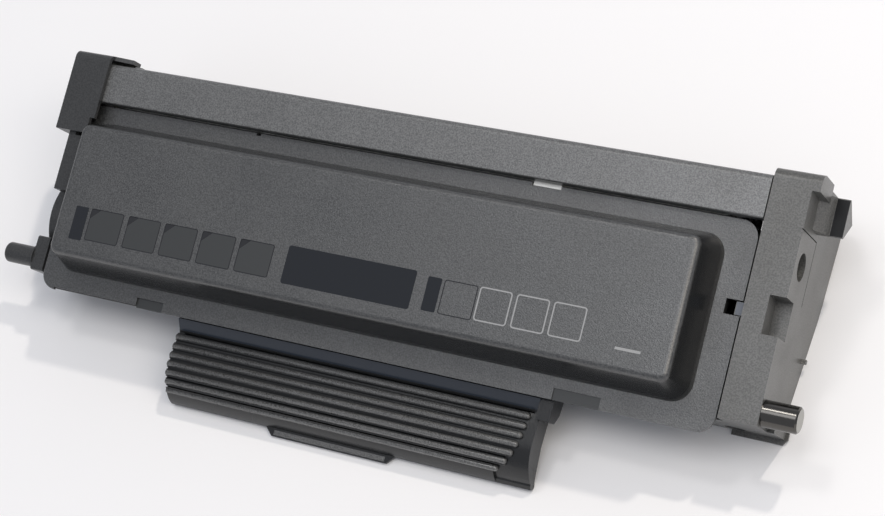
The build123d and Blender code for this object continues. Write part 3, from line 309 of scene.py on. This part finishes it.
@dataclass(frozen=True)
class GrainedLid(MouldedPlastic):
    """Plastic of the lid: grained on its level faces, smoother on the walls between them, with painted shade
    on the walls.

    The walls are told by their height over the lid's flange, which Object coordinates give: they lie between
    the two heights of wall_mm, and soft_mm is the height over which one finish becomes the other. The lid's
    upright and the height of its flange along it come from set_on.
    """

    # Painted shade: the walls' colour is darker than that of the grained faces.
    wall_shade_colour: str = "#222324"
    wall_roughness: float = 0.24
    wall_specular: float = 0.35
    wall_grain_depth: float = 0.06
    wall_mm: Span = (0.4, 11.7)
    soft_mm: float = 1.9
    rise: Point = (0.0, 0.0, 1.0)
    flange: float = 0.0

    def set_on(self, drawing: Drawing) -> "GrainedLid":
        """Return the finish with the lid's own upright and the height of its flange.

        Args:
            drawing: the drawing's place in the part's frame.

        Returns:
            The finish for the cartridge as it lies.
        """
        rise = drawing.turn(Vector((0.0, 0.0, 1.0)))
        return replace(self, rise=tuple(rise), flange=rise.dot(drawing.shift))

    def dress(self, tree: bpy.types.NodeTree, shader: bpy.types.Node) -> None:
        """Add the grain, then make the walls smooth and paint them darker as shade.

        Args:
            tree: the material's node tree.
            shader: its Principled shader.
        """
        super().dress(tree, shader)
        wall = self.wall_share(tree)
        self.blend(tree, shader, ShaderInput.COLOUR, wall)
        self.blend(tree, shader, ShaderInput.ROUGHNESS, wall)
        sheen = add_node(tree, "ShaderNodeMapRange", {"To Min": self.specular, "To Max": self.wall_specular},
                         {"Value": wall})
        tree.links.new(sheen.outputs["Result"], shader.inputs["Specular IOR Level"])
        relief = shader.inputs["Normal"].links[0].from_node
        depth = add_node(tree, "ShaderNodeMapRange",
                         {"To Min": self.grain_depth, "To Max": self.wall_grain_depth}, {"Value": wall})
        tree.links.new(depth.outputs["Result"], relief.inputs["Strength"])

    def wall_share(self, tree: bpy.types.NodeTree) -> bpy.types.NodeSocket:
        """Tell the walls from the level faces by their height over the flange.

        Args:
            tree: the material's node tree.

        Returns:
            Share of the wall, 0 on a level face and 1 on a wall.
        """
        height = add_node(tree, "ShaderNodeVectorMath", {"operation": "DOT_PRODUCT", 1: self.rise},
                          {0: object_place(tree)}).outputs["Value"]
        low, high = (self.flange + mark * MM for mark in self.wall_mm)
        soft = self.soft_mm * MM
        above = add_node(tree, "ShaderNodeMapRange", {"From Min": low, "From Max": low + soft},
                         {"Value": height})
        below = add_node(tree, "ShaderNodeMapRange",
                         {"From Min": high, "From Max": high + soft, "To Min": 1.0, "To Max": 0.0},
                         {"Value": height})
        return add_node(tree, "ShaderNodeMath", {"operation": "MULTIPLY"},
                        {0: above.outputs["Result"], 1: below.outputs["Result"]}).outputs["Value"]

    def blend(self, tree: bpy.types.NodeTree, shader: bpy.types.Node, changed: ShaderInput,
              wall: bpy.types.NodeSocket) -> None:
        """Blend one of the shader's inputs from the grained face's to the wall's.

        Args:
            tree: the material's node tree.
            shader: its Principled shader.
            changed: the input.
            wall: share of the wall, from 0 to 1.
        """
        source = shader.inputs[changed.value].links[0].from_socket
        if changed is ShaderInput.COLOUR:
            kind, value, (first, second, mixed) = "RGBA", linear(self.wall_shade_colour), MIX_COLOUR
        else:
            kind, value, (first, second, mixed) = "FLOAT", self.wall_roughness, MIX_FLOAT
        blended = add_node(tree, "ShaderNodeMix", {"data_type": kind, second: value},
                           {0: wall, first: source})
        tree.links.new(blended.outputs[mixed], shader.inputs[changed.value])


@dataclass(frozen=True)
class TurnedSteel(Finish):
    """Steel turned on a lathe: fine rings round the axis that runs along the cartridge.

    A ring is ring_mm wide, as the tool's feed leaves it, and ring_height_mm high, and ring_depth is the
    strength of that relief. The rings are too fine to show one by one, and only soften the reflection along
    the axis. Round the axis they hardly change: their streaks are 12 to a metre.
    """

    ring_mm: float = 0.12
    ring_height_mm: float = 0.02
    ring_depth: float = 0.12
    streaks_per_metre: float = 12.0

    def dress(self, tree: bpy.types.NodeTree, shader: bpy.types.Node) -> None:
        """Add the tool's fine rings as relief along the axis.

        Args:
            tree: the material's node tree.
            shader: its Principled shader.
        """
        across = self.streaks_per_metre
        along = add_node(tree, "ShaderNodeMapping", {"Scale": (PER_METRE / self.ring_mm, across, across)},
                         {"Vector": object_place(tree)})
        rings = add_node(tree, "ShaderNodeTexNoise", {"Scale": 1.0, "Detail": 1.0},
                         {"Vector": along.outputs["Vector"]})
        relief = add_node(tree, "ShaderNodeBump",
                          {"Strength": self.ring_depth, "Distance": self.ring_height_mm * MM},
                          {"Height": rings.outputs["Fac"]})
        tree.links.new(relief.outputs["Normal"], shader.inputs["Normal"])


# Black high impact polystyrene from a spark eroded mould: a broad grey sheen over near black, with fine even
# grain. Its walls are smoother, and painted darker as shade so that they stay black.
LID_PLASTIC = GrainedLid("moulded_polystyrene_lid", "#2e2f2f", 0.38, ior=1.59, specular=1.0, grain_mm=0.42,
                         grain_depth=0.7, speck=0.8)
# The same plastic from a smoother mould for the tub: darker and a little glossier.
TUB_PLASTIC = MouldedPlastic("moulded_polystyrene_tub", "#262728", 0.36, grain_mm=0.6, grain_depth=0.2)
# Glass filled plastic of the left cap: a pale bloom on the faces that look at the light.
CAP_PLASTIC = MouldedPlastic("moulded_glass_filled_cap", "#353637", 0.34, speck=0.25)
# The same plastic on the right cap, painted paler to stand for the light that falls on that side, with a
# broader sheen.
RIGHT_CAP_PLASTIC = MouldedPlastic("moulded_cap_painted_light", "#4f4f4d", 0.36, ior=1.58, specular=0.6,
                                   grain_depth=0.16, speck=0.3)
# Cover strip, moulded from the same plastic: painted paler along its whole length, as a painted sheen.
BAR_PLASTIC = MouldedPlastic("moulded_strip_painted_sheen", "#525353", 0.36, ior=1.59, specular=1.0, grain_mm=0.42,
                             grain_depth=0.5, speck=0.5)
# Plastic of the grip from a polished mould: black satin with crisp highlights.
GRIP_PLASTIC = MouldedPlastic("moulded_satin_grip", "#1c1d1e", 0.26, grain_mm=0.5, grain_depth=0.3,
                              mottle=0.05)
# The grip's rib crests and lip: painted paler as a painted highlight, with fine bright sparkles.
RIB_PLASTIC = MouldedPlastic("moulded_ribs_painted_highlight", "#585857", 0.24, specular=1.0, grain_mm=0.26,
                             grain_depth=0.4, speck=0.65)
# Plastic moulded against a mirror polished patch of the lid's mould: glossy, with a faint blue reflection
# painted into its colour.
POLISHED_PATCH = Finish("polished_mould_patch", "#1c1f24", 0.12)
# Plastic moulded smooth inside the dark frames: even grey without the grain's sparkle. The same plates in
# the flange's dips are painted shade.
FRAME_GROUND_AND_DIP_SHADE = Finish("smooth_frame_ground_and_dip_shade", "#37393a", 0.36)
# Plastic of the lug's top, moulded smooth: near black with little sheen.
POLISHED_LUG = Finish("polished_lug_top", "#0f1012", 0.34, specular=0.2)
# Plastic moulded against the polished lines of the lid's mould: a dark line on the grain.
POLISHED_LINE = Finish("polished_mould_line", "#26272a", 0.2)
# Pale grey pad printing ink: thin, dry and even.
PALE_INK = Finish("pad_printing_ink", "#9b9c9d", 0.6)
# Faced end of the pin: matt from the parting tool, paler than its turned side.
FACED_STEEL = Finish("faced_steel_end", "#a9a8a3", 0.42, metallic=1.0)
# Moulded latch tongue: smooth plastic, with a pale blue reflection of the room painted into its colour.
TONGUE_PAINTED_REFLECTION = Finish("latch_tongue_painted_reflection", "#555b66", 0.25)
# Polished plastic of the land between the lid and the grip's first rib: black, with a blue reflection
# painted into a paler colour.
POLISHED_NECK_PAINTED_REFLECTION = Finish("polished_grip_neck_painted_reflection", "#2c323b", 0.16)
# Conductive black polystyrene of the contacts: dull and even.
CONTACT_PLASTIC = MouldedPlastic("moulded_conductive_plastic", "#161618", 0.5, grain_depth=0.1)
# Black acetal bushes and plug: slippery, soft gloss.
BUSH_PLASTIC = MouldedPlastic("moulded_black_acetal", "#232325", 0.35, grain_depth=0.08)
# Natural acetal gears: warm milk white with a waxy gloss.
GEAR_PLASTIC = MouldedPlastic("moulded_natural_acetal", "#d9d6cc", 0.36, grain_depth=0.06, mottle=0.03)
# Free cutting steel, turned and oiled dark: long soft reflections.
PIN_STEEL = TurnedSteel("turned_dark_steel", "#5a5855", 0.17, metallic=1.0)
# Ground and plated roller shaft: bright, tight reflections.
SHAFT_STEEL = TurnedSteel("ground_plated_steel", "#c9c9cb", 0.16, metallic=1.0, ring_mm=0.08)
# Zinc plated screws: bright with a faint blue cast.
SCREW_STEEL = TurnedSteel("zinc_plated_steel", "#b9bcc2", 0.28, metallic=1.0)
# Galvanised sheet of the blade's bracket: dull silver.
SHEET_STEEL = Finish("galvanised_sheet_steel", "#e6e5e0", 0.45, metallic=1.0)
# Ground conductive rubber of the developer roller: dark grey, even, soft sheen.
ROLLER_RUBBER = MouldedPlastic("ground_conductive_rubber", "#303032", 0.55, grain_mm=0.2, grain_depth=0.12)
# Open cell foam of the supply roller: dull and pitted.
ROLLER_FOAM = MouldedPlastic("open_cell_foam", "#3b3b3d", 0.95, grain_mm=0.9, grain_depth=0.9, mottle=0.02)
# Needled felt of the end seals: dull grey with a fibrous nap.
FELT = MouldedPlastic("needled_felt", "#8c867c", 0.95, grain_mm=0.5, grain_depth=0.8, mottle=0.02)
# Polyester film of the seals and paddle: smooth and smoky.
FILM = Finish("polyester_film", "#6c6e72", 0.2)

# Finish of each material slot of the frame.
SLOT_FINISHES: dict[str, Finish] = {
    "lid_plastic": LID_PLASTIC,
    "casing_plastic": TUB_PLASTIC,
    "cap_plastic": CAP_PLASTIC,
    "grip_plastic": GRIP_PLASTIC,
    "pin_steel": PIN_STEEL,
    "shaft_steel": SHAFT_STEEL,
    "sheet_steel": SHEET_STEEL,
    "screw_steel": SCREW_STEEL,
    "roller_rubber": ROLLER_RUBBER,
    "roller_foam": ROLLER_FOAM,
    "gear_plastic": GEAR_PLASTIC,
    "bush_plastic": BUSH_PLASTIC,
    "contact_plastic": CONTACT_PLASTIC,
    "felt": FELT,
    "film": FILM,
}

# Nodes whose colour is painted paler than the rest of their slot: painted light on the right cap and
# a painted sheen on the cover strip.
NODE_FINISHES: dict[str, Finish] = {
    "contact_end_cap": RIGHT_CAP_PLASTIC,
    "roller_bar_cover": BAR_PLASTIC,
}


@dataclass
class CartridgeFrame:
    """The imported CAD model: its nodes, and the slot that each one is painted from."""

    nodes: dict[str, bpy.types.Object]
    record: dict
    drawing: Drawing

    def dress(self) -> None:
        """Give every CAD node the finish of its slot, or its own paler finish where light or sheen is
        painted on it.
        """
        slots = {part["node"]: part["material_slot"] for part in self.record["subparts"]}
        for name, node in self.nodes.items():
            finish = NODE_FINISHES.get(name, SLOT_FINISHES[slots[name]])
            if isinstance(finish, GrainedLid):
                finish = finish.set_on(self.drawing)
            node.data.materials.clear()
            node.data.materials.append(finish.material())
            LOG.info("%s: %s", name, finish.name)


@dataclass
class Bench:
    """Place where pieces drawn in millimetres are set on the cartridge and given their finish."""

    drawing: Drawing

    def piece(self, name: str, mesh: bmesh.types.BMesh, finish: Finish, smooth: bool = False) -> None:
        """Set a drawn mesh in its place, dress it and let it ride the cartridge.

        Args:
            name: name of the new piece.
            mesh: mesh in the drawing's millimetres. It is used up.
            finish: what the piece is made of.
            smooth: whether its faces are shaded smooth across shallow edges.
        """
        bmesh.ops.remove_doubles(mesh, verts=mesh.verts, dist=MERGE_MM)
        bmesh.ops.recalc_face_normals(mesh, faces=mesh.faces)
        mesh.transform(self.drawing.matrix())
        data = bpy.data.meshes.new(name)
        mesh.to_mesh(data)
        mesh.free()
        if smooth:
            data.shade_smooth()
        data.materials.append(finish.material())
        made = bpy.data.objects.new(name, data)
        bpy.context.scene.collection.objects.link(made)
        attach(made, BODY)
        LOG.info("%s: %d faces of %s", name, len(data.polygons), finish.name)


def joined_edges(verts: Iterable[bmesh.types.BMVert]) -> list[bmesh.types.BMEdge]:
    """Return the edges that meet at some vertices, each once."""
    return list(dict.fromkeys(edge for vert in verts for edge in vert.link_edges))


def upright(edge: bmesh.types.BMEdge, height: float) -> bool:
    """Say whether an edge stands up through more than half of a height."""
    return abs(edge.verts[0].co.z - edge.verts[1].co.z) > height / 2


def round_off(mesh: bmesh.types.BMesh, geom: list, radius: float, cut: Cut = Cut.EDGES) -> dict:
    """Round some edges or corners of a mesh.

    Args:
        mesh: the mesh that they are in.
        geom: the edges or corners.
        radius: radius of the rounding, in millimetres.
        cut: whether edges or corners are cut.

    Returns:
        The new vertices, edges and faces, by kind.
    """
    return bmesh.ops.bevel(mesh, geom=geom, offset=radius, affect=cut.value, segments=CORNER_STEPS,
                           profile=0.5, material=-1)


def verts_after(verts: list[bmesh.types.BMVert], rounded: dict) -> list[bmesh.types.BMVert]:
    """List a shape's vertices after a rounding.

    Args:
        verts: its vertices before, some of which the rounding may have used up.
        rounded: what the rounding made.

    Returns:
        Its vertices now, each once.
    """
    kept = [vert for vert in (*verts, *rounded["verts"]) if vert.is_valid]
    return list(dict.fromkeys((*kept, *(vert for face in rounded["faces"] for vert in face.verts))))


def raise_faces(mesh: bmesh.types.BMesh, faces: list[bmesh.types.BMFace], height: float) -> None:
    """Raise flat faces into a solid of a given height.

    Args:
        mesh: the mesh that they are in.
        faces: the faces.
        height: how far they rise along z, in millimetres.
    """
    raised = bmesh.ops.extrude_face_region(mesh, geom=faces)["geom"]
    verts = [part for part in raised if isinstance(part, bmesh.types.BMVert)]
    bmesh.ops.translate(mesh, verts=verts, vec=(0.0, 0.0, height))


def plate(mesh: bmesh.types.BMesh, x: Span, y: Span, z: Span, corner: float = 0.0) -> None:
    """Add a flat plate with rounded corners in plan.

    Args:
        mesh: the mesh that it is added to.
        x: its low and high limits along x, in millimetres.
        y: the same along y.
        z: the same along z.
        corner: radius of its corners, none if 0.
    """
    centre = Matrix.Translation(((x[0] + x[1]) / 2, (y[0] + y[1]) / 2, (z[0] + z[1]) / 2))
    size = Matrix.Diagonal((x[1] - x[0], y[1] - y[0], z[1] - z[0], 1.0))
    cube = bmesh.ops.create_cube(mesh, size=1.0, matrix=centre @ size)
    if corner:
        uprights = [edge for edge in joined_edges(cube["verts"]) if upright(edge, z[1] - z[0])]
        round_off(mesh, uprights, corner)


def frame_line(mesh: bmesh.types.BMesh, x: Span, y: Span, z: Span, corner: float, line: float) -> None:
    """Add a thin raised frame with rounded corners.

    Args:
        mesh: the mesh that it is added to.
        x: its low and high limits along x, in millimetres.
        y: the same along y.
        z: the same along z.
        corner: radius of its corners.
        line: width of the line.
    """
    centre = Matrix.Translation(((x[0] + x[1]) / 2, (y[0] + y[1]) / 2, z[0]))
    size = Matrix.Diagonal((x[1] - x[0], y[1] - y[0], 1.0, 1.0))
    grid = bmesh.ops.create_grid(mesh, x_segments=1, y_segments=1, size=0.5, matrix=centre @ size)
    rounded = round_off(mesh, grid["verts"], corner, Cut.CORNERS)
    field = max((face for vert in rounded["verts"] for face in vert.link_faces),
                key=lambda face: face.calc_area())
    rim = bmesh.ops.inset_individual(mesh, faces=[field], thickness=line)["faces"]
    bmesh.ops.delete(mesh, geom=[field], context="FACES")
    raise_faces(mesh, rim, z[1] - z[0])


@dataclass
class LidPrint:
    """Row of polished patches and printed frames along the lid's top, all of them bare.

    Each is a thin plate or line, sunk a little into the lid and standing proud of it by a hair's breadth. A
    frame is given by its limits along x, and a row by its limits along y. A filled corner starts
    filled_inset inside its frame's corner, and its legs end filled_reach from it along x and y.
    """

    bench: Bench
    top: float = 14.0
    proud: float = 0.05
    sunk: float = 0.03
    corner: float = 0.8
    patch: Field = (89.7, 134.0, 15.9, 28.0)
    bars: tuple[Field, ...] = ((10.5, 15.3, 16.0, 27.0), (138.0, 142.6, 16.6, 27.1))
    dark_frames: tuple[Span, ...] = ((16.4, 29.0), (30.8, 43.0), (44.6, 56.8), (58.5, 70.9), (72.5, 84.8))
    faint_frame: Span = (143.5, 154.6)
    dark_rows: Span = (16.5, 27.1)
    dark_line: float = 0.3
    ground_inset: float = 0.1
    filled_inset: float = 0.2
    filled_reach: Span = (3.6, 3.4)
    pale_frames: tuple[Span, ...] = ((155.2, 165.8), (167.2, 177.8), (179.1, 189.6))
    pale_rows: Span = (16.8, 27.2)
    pale_line: float = 0.42
    pale_corner: float = 1.0
    short_bar: Field = (200.3, 208.2, 17.0, 17.8)

    def layer(self) -> Span:
        """Return the low and high limits of the patches and frames along z."""
        return (self.top - self.sunk, self.top + self.proud)

    def build(self) -> None:
        """Set every patch, frame and bar on the lid."""
        self.patches()
        self.dark_row()
        self.frame_grounds()
        self.pale_row()

    def patches(self) -> None:
        """Set the long polished patch and the two bars that stand on end."""
        mesh = bmesh.new()
        plate(mesh, self.patch[:2], self.patch[2:], self.layer(), self.corner)
        self.bench.piece("lid_polished_patch", mesh, POLISHED_PATCH)
        mesh = bmesh.new()
        for bar in self.bars:
            plate(mesh, bar[:2], bar[2:], self.layer(), self.corner / 2)
        self.bench.piece("lid_polished_bars", mesh, POLISHED_PATCH)

    def dark_row(self) -> None:
        """Set the dark frames at the left, each with a plain filled corner, and the faint one."""
        mesh = bmesh.new()
        for span in (*self.dark_frames, self.faint_frame):
            frame_line(mesh, span, self.dark_rows, self.layer(), self.corner, self.dark_line)
        for low, _ in self.dark_frames:
            self.filled_corner(mesh, low)
        self.bench.piece("lid_dark_frames", mesh, POLISHED_LINE)

    def filled_corner(self, mesh: bmesh.types.BMesh, low: float) -> None:
        """Add the triangle in the upper left corner of a dark frame.

        Args:
            mesh: the mesh that it is added to.
            low: left edge of the frame along x.
        """
        bottom, top = self.layer()
        left, back = low + self.filled_inset, self.dark_rows[1] - self.filled_inset
        right, front = low + self.filled_reach[0], self.dark_rows[1] - self.filled_reach[1]
        verts = [mesh.verts.new((x, y, bottom)) for x, y in ((left, back), (left, front), (right, back))]
        raise_faces(mesh, [mesh.faces.new(verts)], top - bottom)

    def frame_grounds(self) -> None:
        """Lay the smooth ground inside each dark frame, lower than its line."""
        bottom, top = self.layer()
        front, back = self.dark_rows
        inset = self.ground_inset
        mesh = bmesh.new()
        for low, high in self.dark_frames:
            plate(mesh, (low + inset, high - inset), (front + inset, back - inset),
                  (bottom, top - self.proud / 2), self.corner)
        self.bench.piece("lid_frame_grounds", mesh, FRAME_GROUND_AND_DIP_SHADE)

    def pale_row(self) -> None:
        """Set the three pale frames and the short bar near the lid's right end."""
        mesh = bmesh.new()
        for span in self.pale_frames:
            frame_line(mesh, span, self.pale_rows, self.layer(), self.pale_corner, self.pale_line)
        plate(mesh, self.short_bar[:2], self.short_bar[2:], self.layer())
        self.bench.piece("lid_pale_print", mesh, PALE_INK)


@dataclass(frozen=True)
class Rib:
    """One rib of the grip: its middle along y, its solid's height there, its slope and its right end.

    The slope is in degrees, and positive where the rib's top falls to the rear.
    """

    y: float
    z: float
    slope: float
    right: float


@dataclass
class GripCrowns:
    """Rounded crests of the grip's ribs, over the plain ribs of the solid, painted paler as a highlight.

    A crest reaches proud of the solid rib and deep into it. Its right end is nearly a half circle: end_share
    is the end's radius for the crest's width.
    """

    bench: Bench
    left: float = 48.45
    width: float = 1.8
    proud: float = 0.6
    deep: float = 0.8
    roundness: float = 0.88
    end_share: float = 0.47
    ribs: tuple[Rib, ...] = (
        Rib(-5.925, -4.254, 10.3, 173.25), Rib(-9.125, -3.736, 7.8, 172.95),
        Rib(-12.125, -3.388, 5.6, 172.55), Rib(-15.025, -3.238, -1.4, 171.95),
        Rib(-17.925, -3.678, -16.1, 170.85), Rib(-20.725, -4.905, -31.1, 169.05),
        Rib(-23.45, -7.03, -44.0, 166.2))

    def build(self) -> None:
        """Set one crest on each rib."""
        mesh = bmesh.new()
        for rib in self.ribs:
            self.crest(mesh, rib)
        # The crests' paler colour is a painted highlight.
        self.bench.piece("grip_rib_crowns", mesh, RIB_PLASTIC, smooth=True)

    def crest(self, mesh: bmesh.types.BMesh, rib: Rib) -> None:
        """Add one crest, rounded over its top and round its right end.

        Args:
            mesh: the mesh that it is added to.
            rib: the rib that it stands on.
        """
        length = rib.right - self.left
        tall = self.proud + self.deep
        size = Matrix.Diagonal((length, self.width, tall, 1.0))
        middle = Matrix.Translation((self.left + length / 2, 0.0, self.proud - tall / 2))
        cube = bmesh.ops.create_cube(mesh, size=1.0, matrix=middle @ size)["verts"]
        ends = [edge for edge in joined_edges(cube) if upright(edge, tall)
                and all(vert.co.x > rib.right - NEAR_MM for vert in edge.verts)]
        left_verts = [vert for vert in cube if vert.co.x < rib.right - NEAR_MM]
        verts = verts_after(left_verts, round_off(mesh, ends, self.width * self.end_share))
        top = [edge for edge in joined_edges(verts)
               if all(vert.co.z > self.proud - NEAR_MM for vert in edge.verts)
               and any(vert.co.x > self.left + NEAR_MM for vert in edge.verts)]
        verts = verts_after(verts, round_off(mesh, top, self.roundness))
        turn = Matrix.Rotation(math.radians(-rib.slope), 4, "X")
        bmesh.ops.transform(mesh, verts=verts, matrix=Matrix.Translation((0.0, rib.y, rib.z)) @ turn)


@dataclass
class PolishedAndPaintedFaces:
    """Thin faces over places that were moulded smooth or faced, unlike the part round them, and over places
    with
    painted light: a painted reflection on the neck and the tongue, a painted highlight on the lip and
    painted shade in the dips.

    Each lies half in the solid and half over it. The lug, the tongue, the lip and the two dips of the
    flange's front edge are level fields with a height each. The neck is a sloping land, given by the y and z
    of its rear and front edges.
    """

    bench: Bench
    skin: float = 0.06
    neck: tuple[Span, Span] = ((-0.15, -2.35), (-3.55, -5.02))
    neck_span: Span = (48.5, 175.8)
    neck_corner: float = 0.1
    lug: Field = (247.1, 250.9, 65.4, 76.6)
    lug_top: float = -12.6
    tongue: Field = (228.2, 231.2, 35.6, 39.4)
    tongue_top: float = -0.7
    lip: Field = (87.2, 126.8, -29.1, -27.5)
    lip_top: float = -12.4
    left_dip: Field = (33.05, 42.95, 0.02, 3.15)
    left_dip_floor: float = -0.8
    right_dip: Field = (180.05, 194.95, 0.02, 3.55)
    right_dip_floor: float = -0.5
    pin_radius: float = 3.5
    pin_steps: int = 48

    def build(self) -> None:
        """Set every face."""
        self.neck_land()
        self.level_face("lug_polished_top", self.lug, self.lug_top, POLISHED_LUG)
        # Painted reflection: the tongue's pale blue colour.
        self.level_face("latch_tongue_top", self.tongue, self.tongue_top, TONGUE_PAINTED_REFLECTION)
        # The lip's paler top is a painted highlight.
        self.level_face("grip_lip_top", self.lip, self.lip_top, RIB_PLASTIC)
        # Painted shade: the plates in the two dips are smooth and darker than the grain round them.
        self.level_face("lid_left_dip_painted_shade", self.left_dip, self.left_dip_floor, FRAME_GROUND_AND_DIP_SHADE)
        self.level_face("lid_right_dip_painted_shade", self.right_dip, self.right_dip_floor, FRAME_GROUND_AND_DIP_SHADE)
        self.pin_face()

    def level_face(self, name: str, field: Field, top: float, finish: Finish) -> None:
        """Lay a thin plate on a level face.

        Args:
            name: name of the new piece.
            field: its limits, low and high along x, then along y.
            top: height of the face that it lies on.
            finish: what it is made of.
        """
        mesh = bmesh.new()
        plate(mesh, field[:2], field[2:], (top - self.skin, top + self.skin))
        self.bench.piece(name, mesh, finish)

    def neck_land(self) -> None:
        """Lay the glossy land along the grip's neck, painted paler and blue as a reflection."""
        (y0, z0), (y1, z1) = self.neck
        depth = math.hypot(y1 - y0, z1 - z0)
        mesh = bmesh.new()
        plate(mesh, self.neck_span, (-depth / 2, depth / 2), (-self.skin, self.skin), self.neck_corner)
        turn = Matrix.Rotation(math.atan2(z0 - z1, y0 - y1), 4, "X")
        mesh.transform(Matrix.Translation((0.0, (y0 + y1) / 2, (z0 + z1) / 2)) @ turn)
        self.bench.piece("grip_neck_land_painted_reflection", mesh, POLISHED_NECK_PAINTED_REFLECTION)

    def pin_face(self) -> None:
        """Face the end of the steel guide pin."""
        mesh = bmesh.new()
        place = Matrix.Translation(PIN_END) @ Matrix.Rotation(math.radians(90), 4, "Y")
        bmesh.ops.create_cone(mesh, cap_ends=True, segments=self.pin_steps, radius1=self.pin_radius,
                              radius2=self.pin_radius, depth=self.skin, matrix=place)
        self.bench.piece("guide_pin_faced_end", mesh, FACED_STEEL)


@dataclass(frozen=True)
class Lamp:
    """One lamp that looks at the cartridge: a soft square or oblong of light.

    Its way is the direction from the cartridge to it. Its width, height and distance are metres, and its
    power is watts.
    """

    name: str
    way: Point
    size: tuple[float, float]
    power: float
    colour: str
    distance: float = 1.6

    def hang(self) -> None:
        """Hang the lamp and turn it to the cartridge."""
        data = bpy.data.lights.new(self.name, "AREA")
        data.shape = "RECTANGLE"
        data.size, data.size_y = self.size
        data.energy = self.power
        data.color = linear(self.colour)[:3]
        lamp = bpy.data.objects.new(self.name, data)
        towards = Vector(self.way).normalized()
        lamp.location = towards * self.distance
        lamp.rotation_euler = towards.to_track_quat("Z", "Y").to_euler()
        bpy.context.scene.collection.objects.link(lamp)
        LOG.info("%s: %.1f W", self.name, self.power)


LAMPS: tuple[Lamp, ...] = (
    # Small warm lamp at the right rear, which throws the shadow to the front.
    Lamp("right_lamp", (0.30, 0.49, 0.82), (0.07, 0.07), 5.8, "#fff6ea"),
    # Soft lamp at the left rear.
    Lamp("left_lamp", (-0.19, 0.22, 0.956), (0.26, 0.2), 2.4, "#fffdfa"),
    # Wide panel overhead.
    Lamp("overhead_panel", (0.03, -0.14, 0.99), (0.8, 0.5), 3.4, "#fbfcff", 1.4),
    # Warm panel at the right, which the right cap's side wall faces.
    Lamp("right_panel", (0.62, -0.08, 0.78), (0.6, 0.6), 3.7, "#fff6ea", 1.2),
    # Wide weak panel, low behind.
    Lamp("rear_panel", (0.1, 0.85, 0.5), (1.2, 0.5), 0.6, "#fbfcff", 1.4),
)


@dataclass
class Studio:
    """Plain pale floor, soft lamps and the camera at the photograph's viewing angle.

    The camera's place and directions are in the drawing's frame, as they were fitted to the photograph. The
    floor's size and the camera's near and far limits are metres.
    """

    drawing: Drawing
    lamps: tuple[Lamp, ...] = LAMPS
    floor_size: float = 6.0
    floor_colour: str = "#f4f4f5"
    world_colour: str = "#eef1fa"
    world_strength: float = 0.51
    eye: Point = (399.7, -46.3, 587.5)
    right: Point = (0.8957, 0.2466, -0.3701)
    down: Point = (0.1760, -0.9610, -0.2127)
    focal_px: float = 2121.0
    near: float = 0.01
    far: float = 50.0

    def build(self) -> None:
        """Set the floor, the world, the lamps and the camera."""
        self.floor()
        self.world()
        for lamp in self.lamps:
            lamp.hang()
        self.camera()

    def floor(self) -> None:
        """Lay the pale floor, which shows near white to the camera and keeps the soft shadow."""
        mesh = bmesh.new()
        bmesh.ops.create_grid(mesh, x_segments=1, y_segments=1, size=self.floor_size / 2)
        data = bpy.data.meshes.new("studio_floor")
        mesh.to_mesh(data)
        mesh.free()
        floor = bpy.data.objects.new("studio_floor", data)
        bpy.context.scene.collection.objects.link(floor)
        # Board painted matt off white: it shows no gloss, and the shadow on it stays soft.
        material = bpy.data.materials.new("painted_studio_board")
        material.use_nodes = True
        tree = material.node_tree
        tree.nodes.clear()
        paint = add_node(tree, "ShaderNodeBsdfDiffuse", {"Color": linear(self.floor_colour)})
        add_node(tree, "ShaderNodeOutputMaterial", links={"Surface": paint.outputs["BSDF"]})
        data.materials.append(material)
        LOG.info("studio_floor: %.1f m wide", self.floor_size)

    def world(self) -> None:
        """Surround the scene with an even pale light."""
        world = bpy.data.worlds.new("pale_room")
        bpy.context.scene.world = world
        world.use_nodes = True
        tree = world.node_tree
        tree.nodes.clear()
        light = add_node(tree, "ShaderNodeBackground",
                         {"Color": linear(self.world_colour), "Strength": self.world_strength})
        add_node(tree, "ShaderNodeOutputWorld", links={"Surface": light.outputs["Background"]})

    def camera(self) -> None:
        """Set the camera where the photograph was taken from."""
        right = self.drawing.turn(Vector(self.right)).normalized()
        up = -self.drawing.turn(Vector(self.down))
        up = (up - right * up.dot(right)).normalized()
        back = right.cross(up)
        data = bpy.data.cameras.new("view_camera")
        data.sensor_fit = "HORIZONTAL"
        data.sensor_width = SENSOR_WIDTH
        data.lens = self.focal_px / IMAGE_WIDTH * SENSOR_WIDTH
        data.clip_start = self.near
        data.clip_end = self.far
        camera = bpy.data.objects.new("view_camera", data)
        turn = Matrix((right, up, back)).transposed().to_4x4()
        camera.matrix_world = Matrix.Translation(self.drawing.place(*self.eye)) @ turn
        bpy.context.scene.collection.objects.link(camera)
        bpy.context.scene.camera = camera
        bpy.context.scene.view_settings.view_transform = "Standard"


def main() -> None:
    """Dress the frame, build every group of pieces and set the studio."""
    logging.basicConfig(level=logging.INFO, format="%(name)s: %(message)s")
    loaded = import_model()
    drawing = Drawing.from_pin()
    CartridgeFrame(loaded["nodes"], loaded["record"], drawing).dress()
    bench = Bench(drawing)
    LidPrint(bench).build()
    GripCrowns(bench).build()
    PolishedAndPaintedFaces(bench).build()
    Studio(drawing).build()


if __name__ == "__main__":
    main()
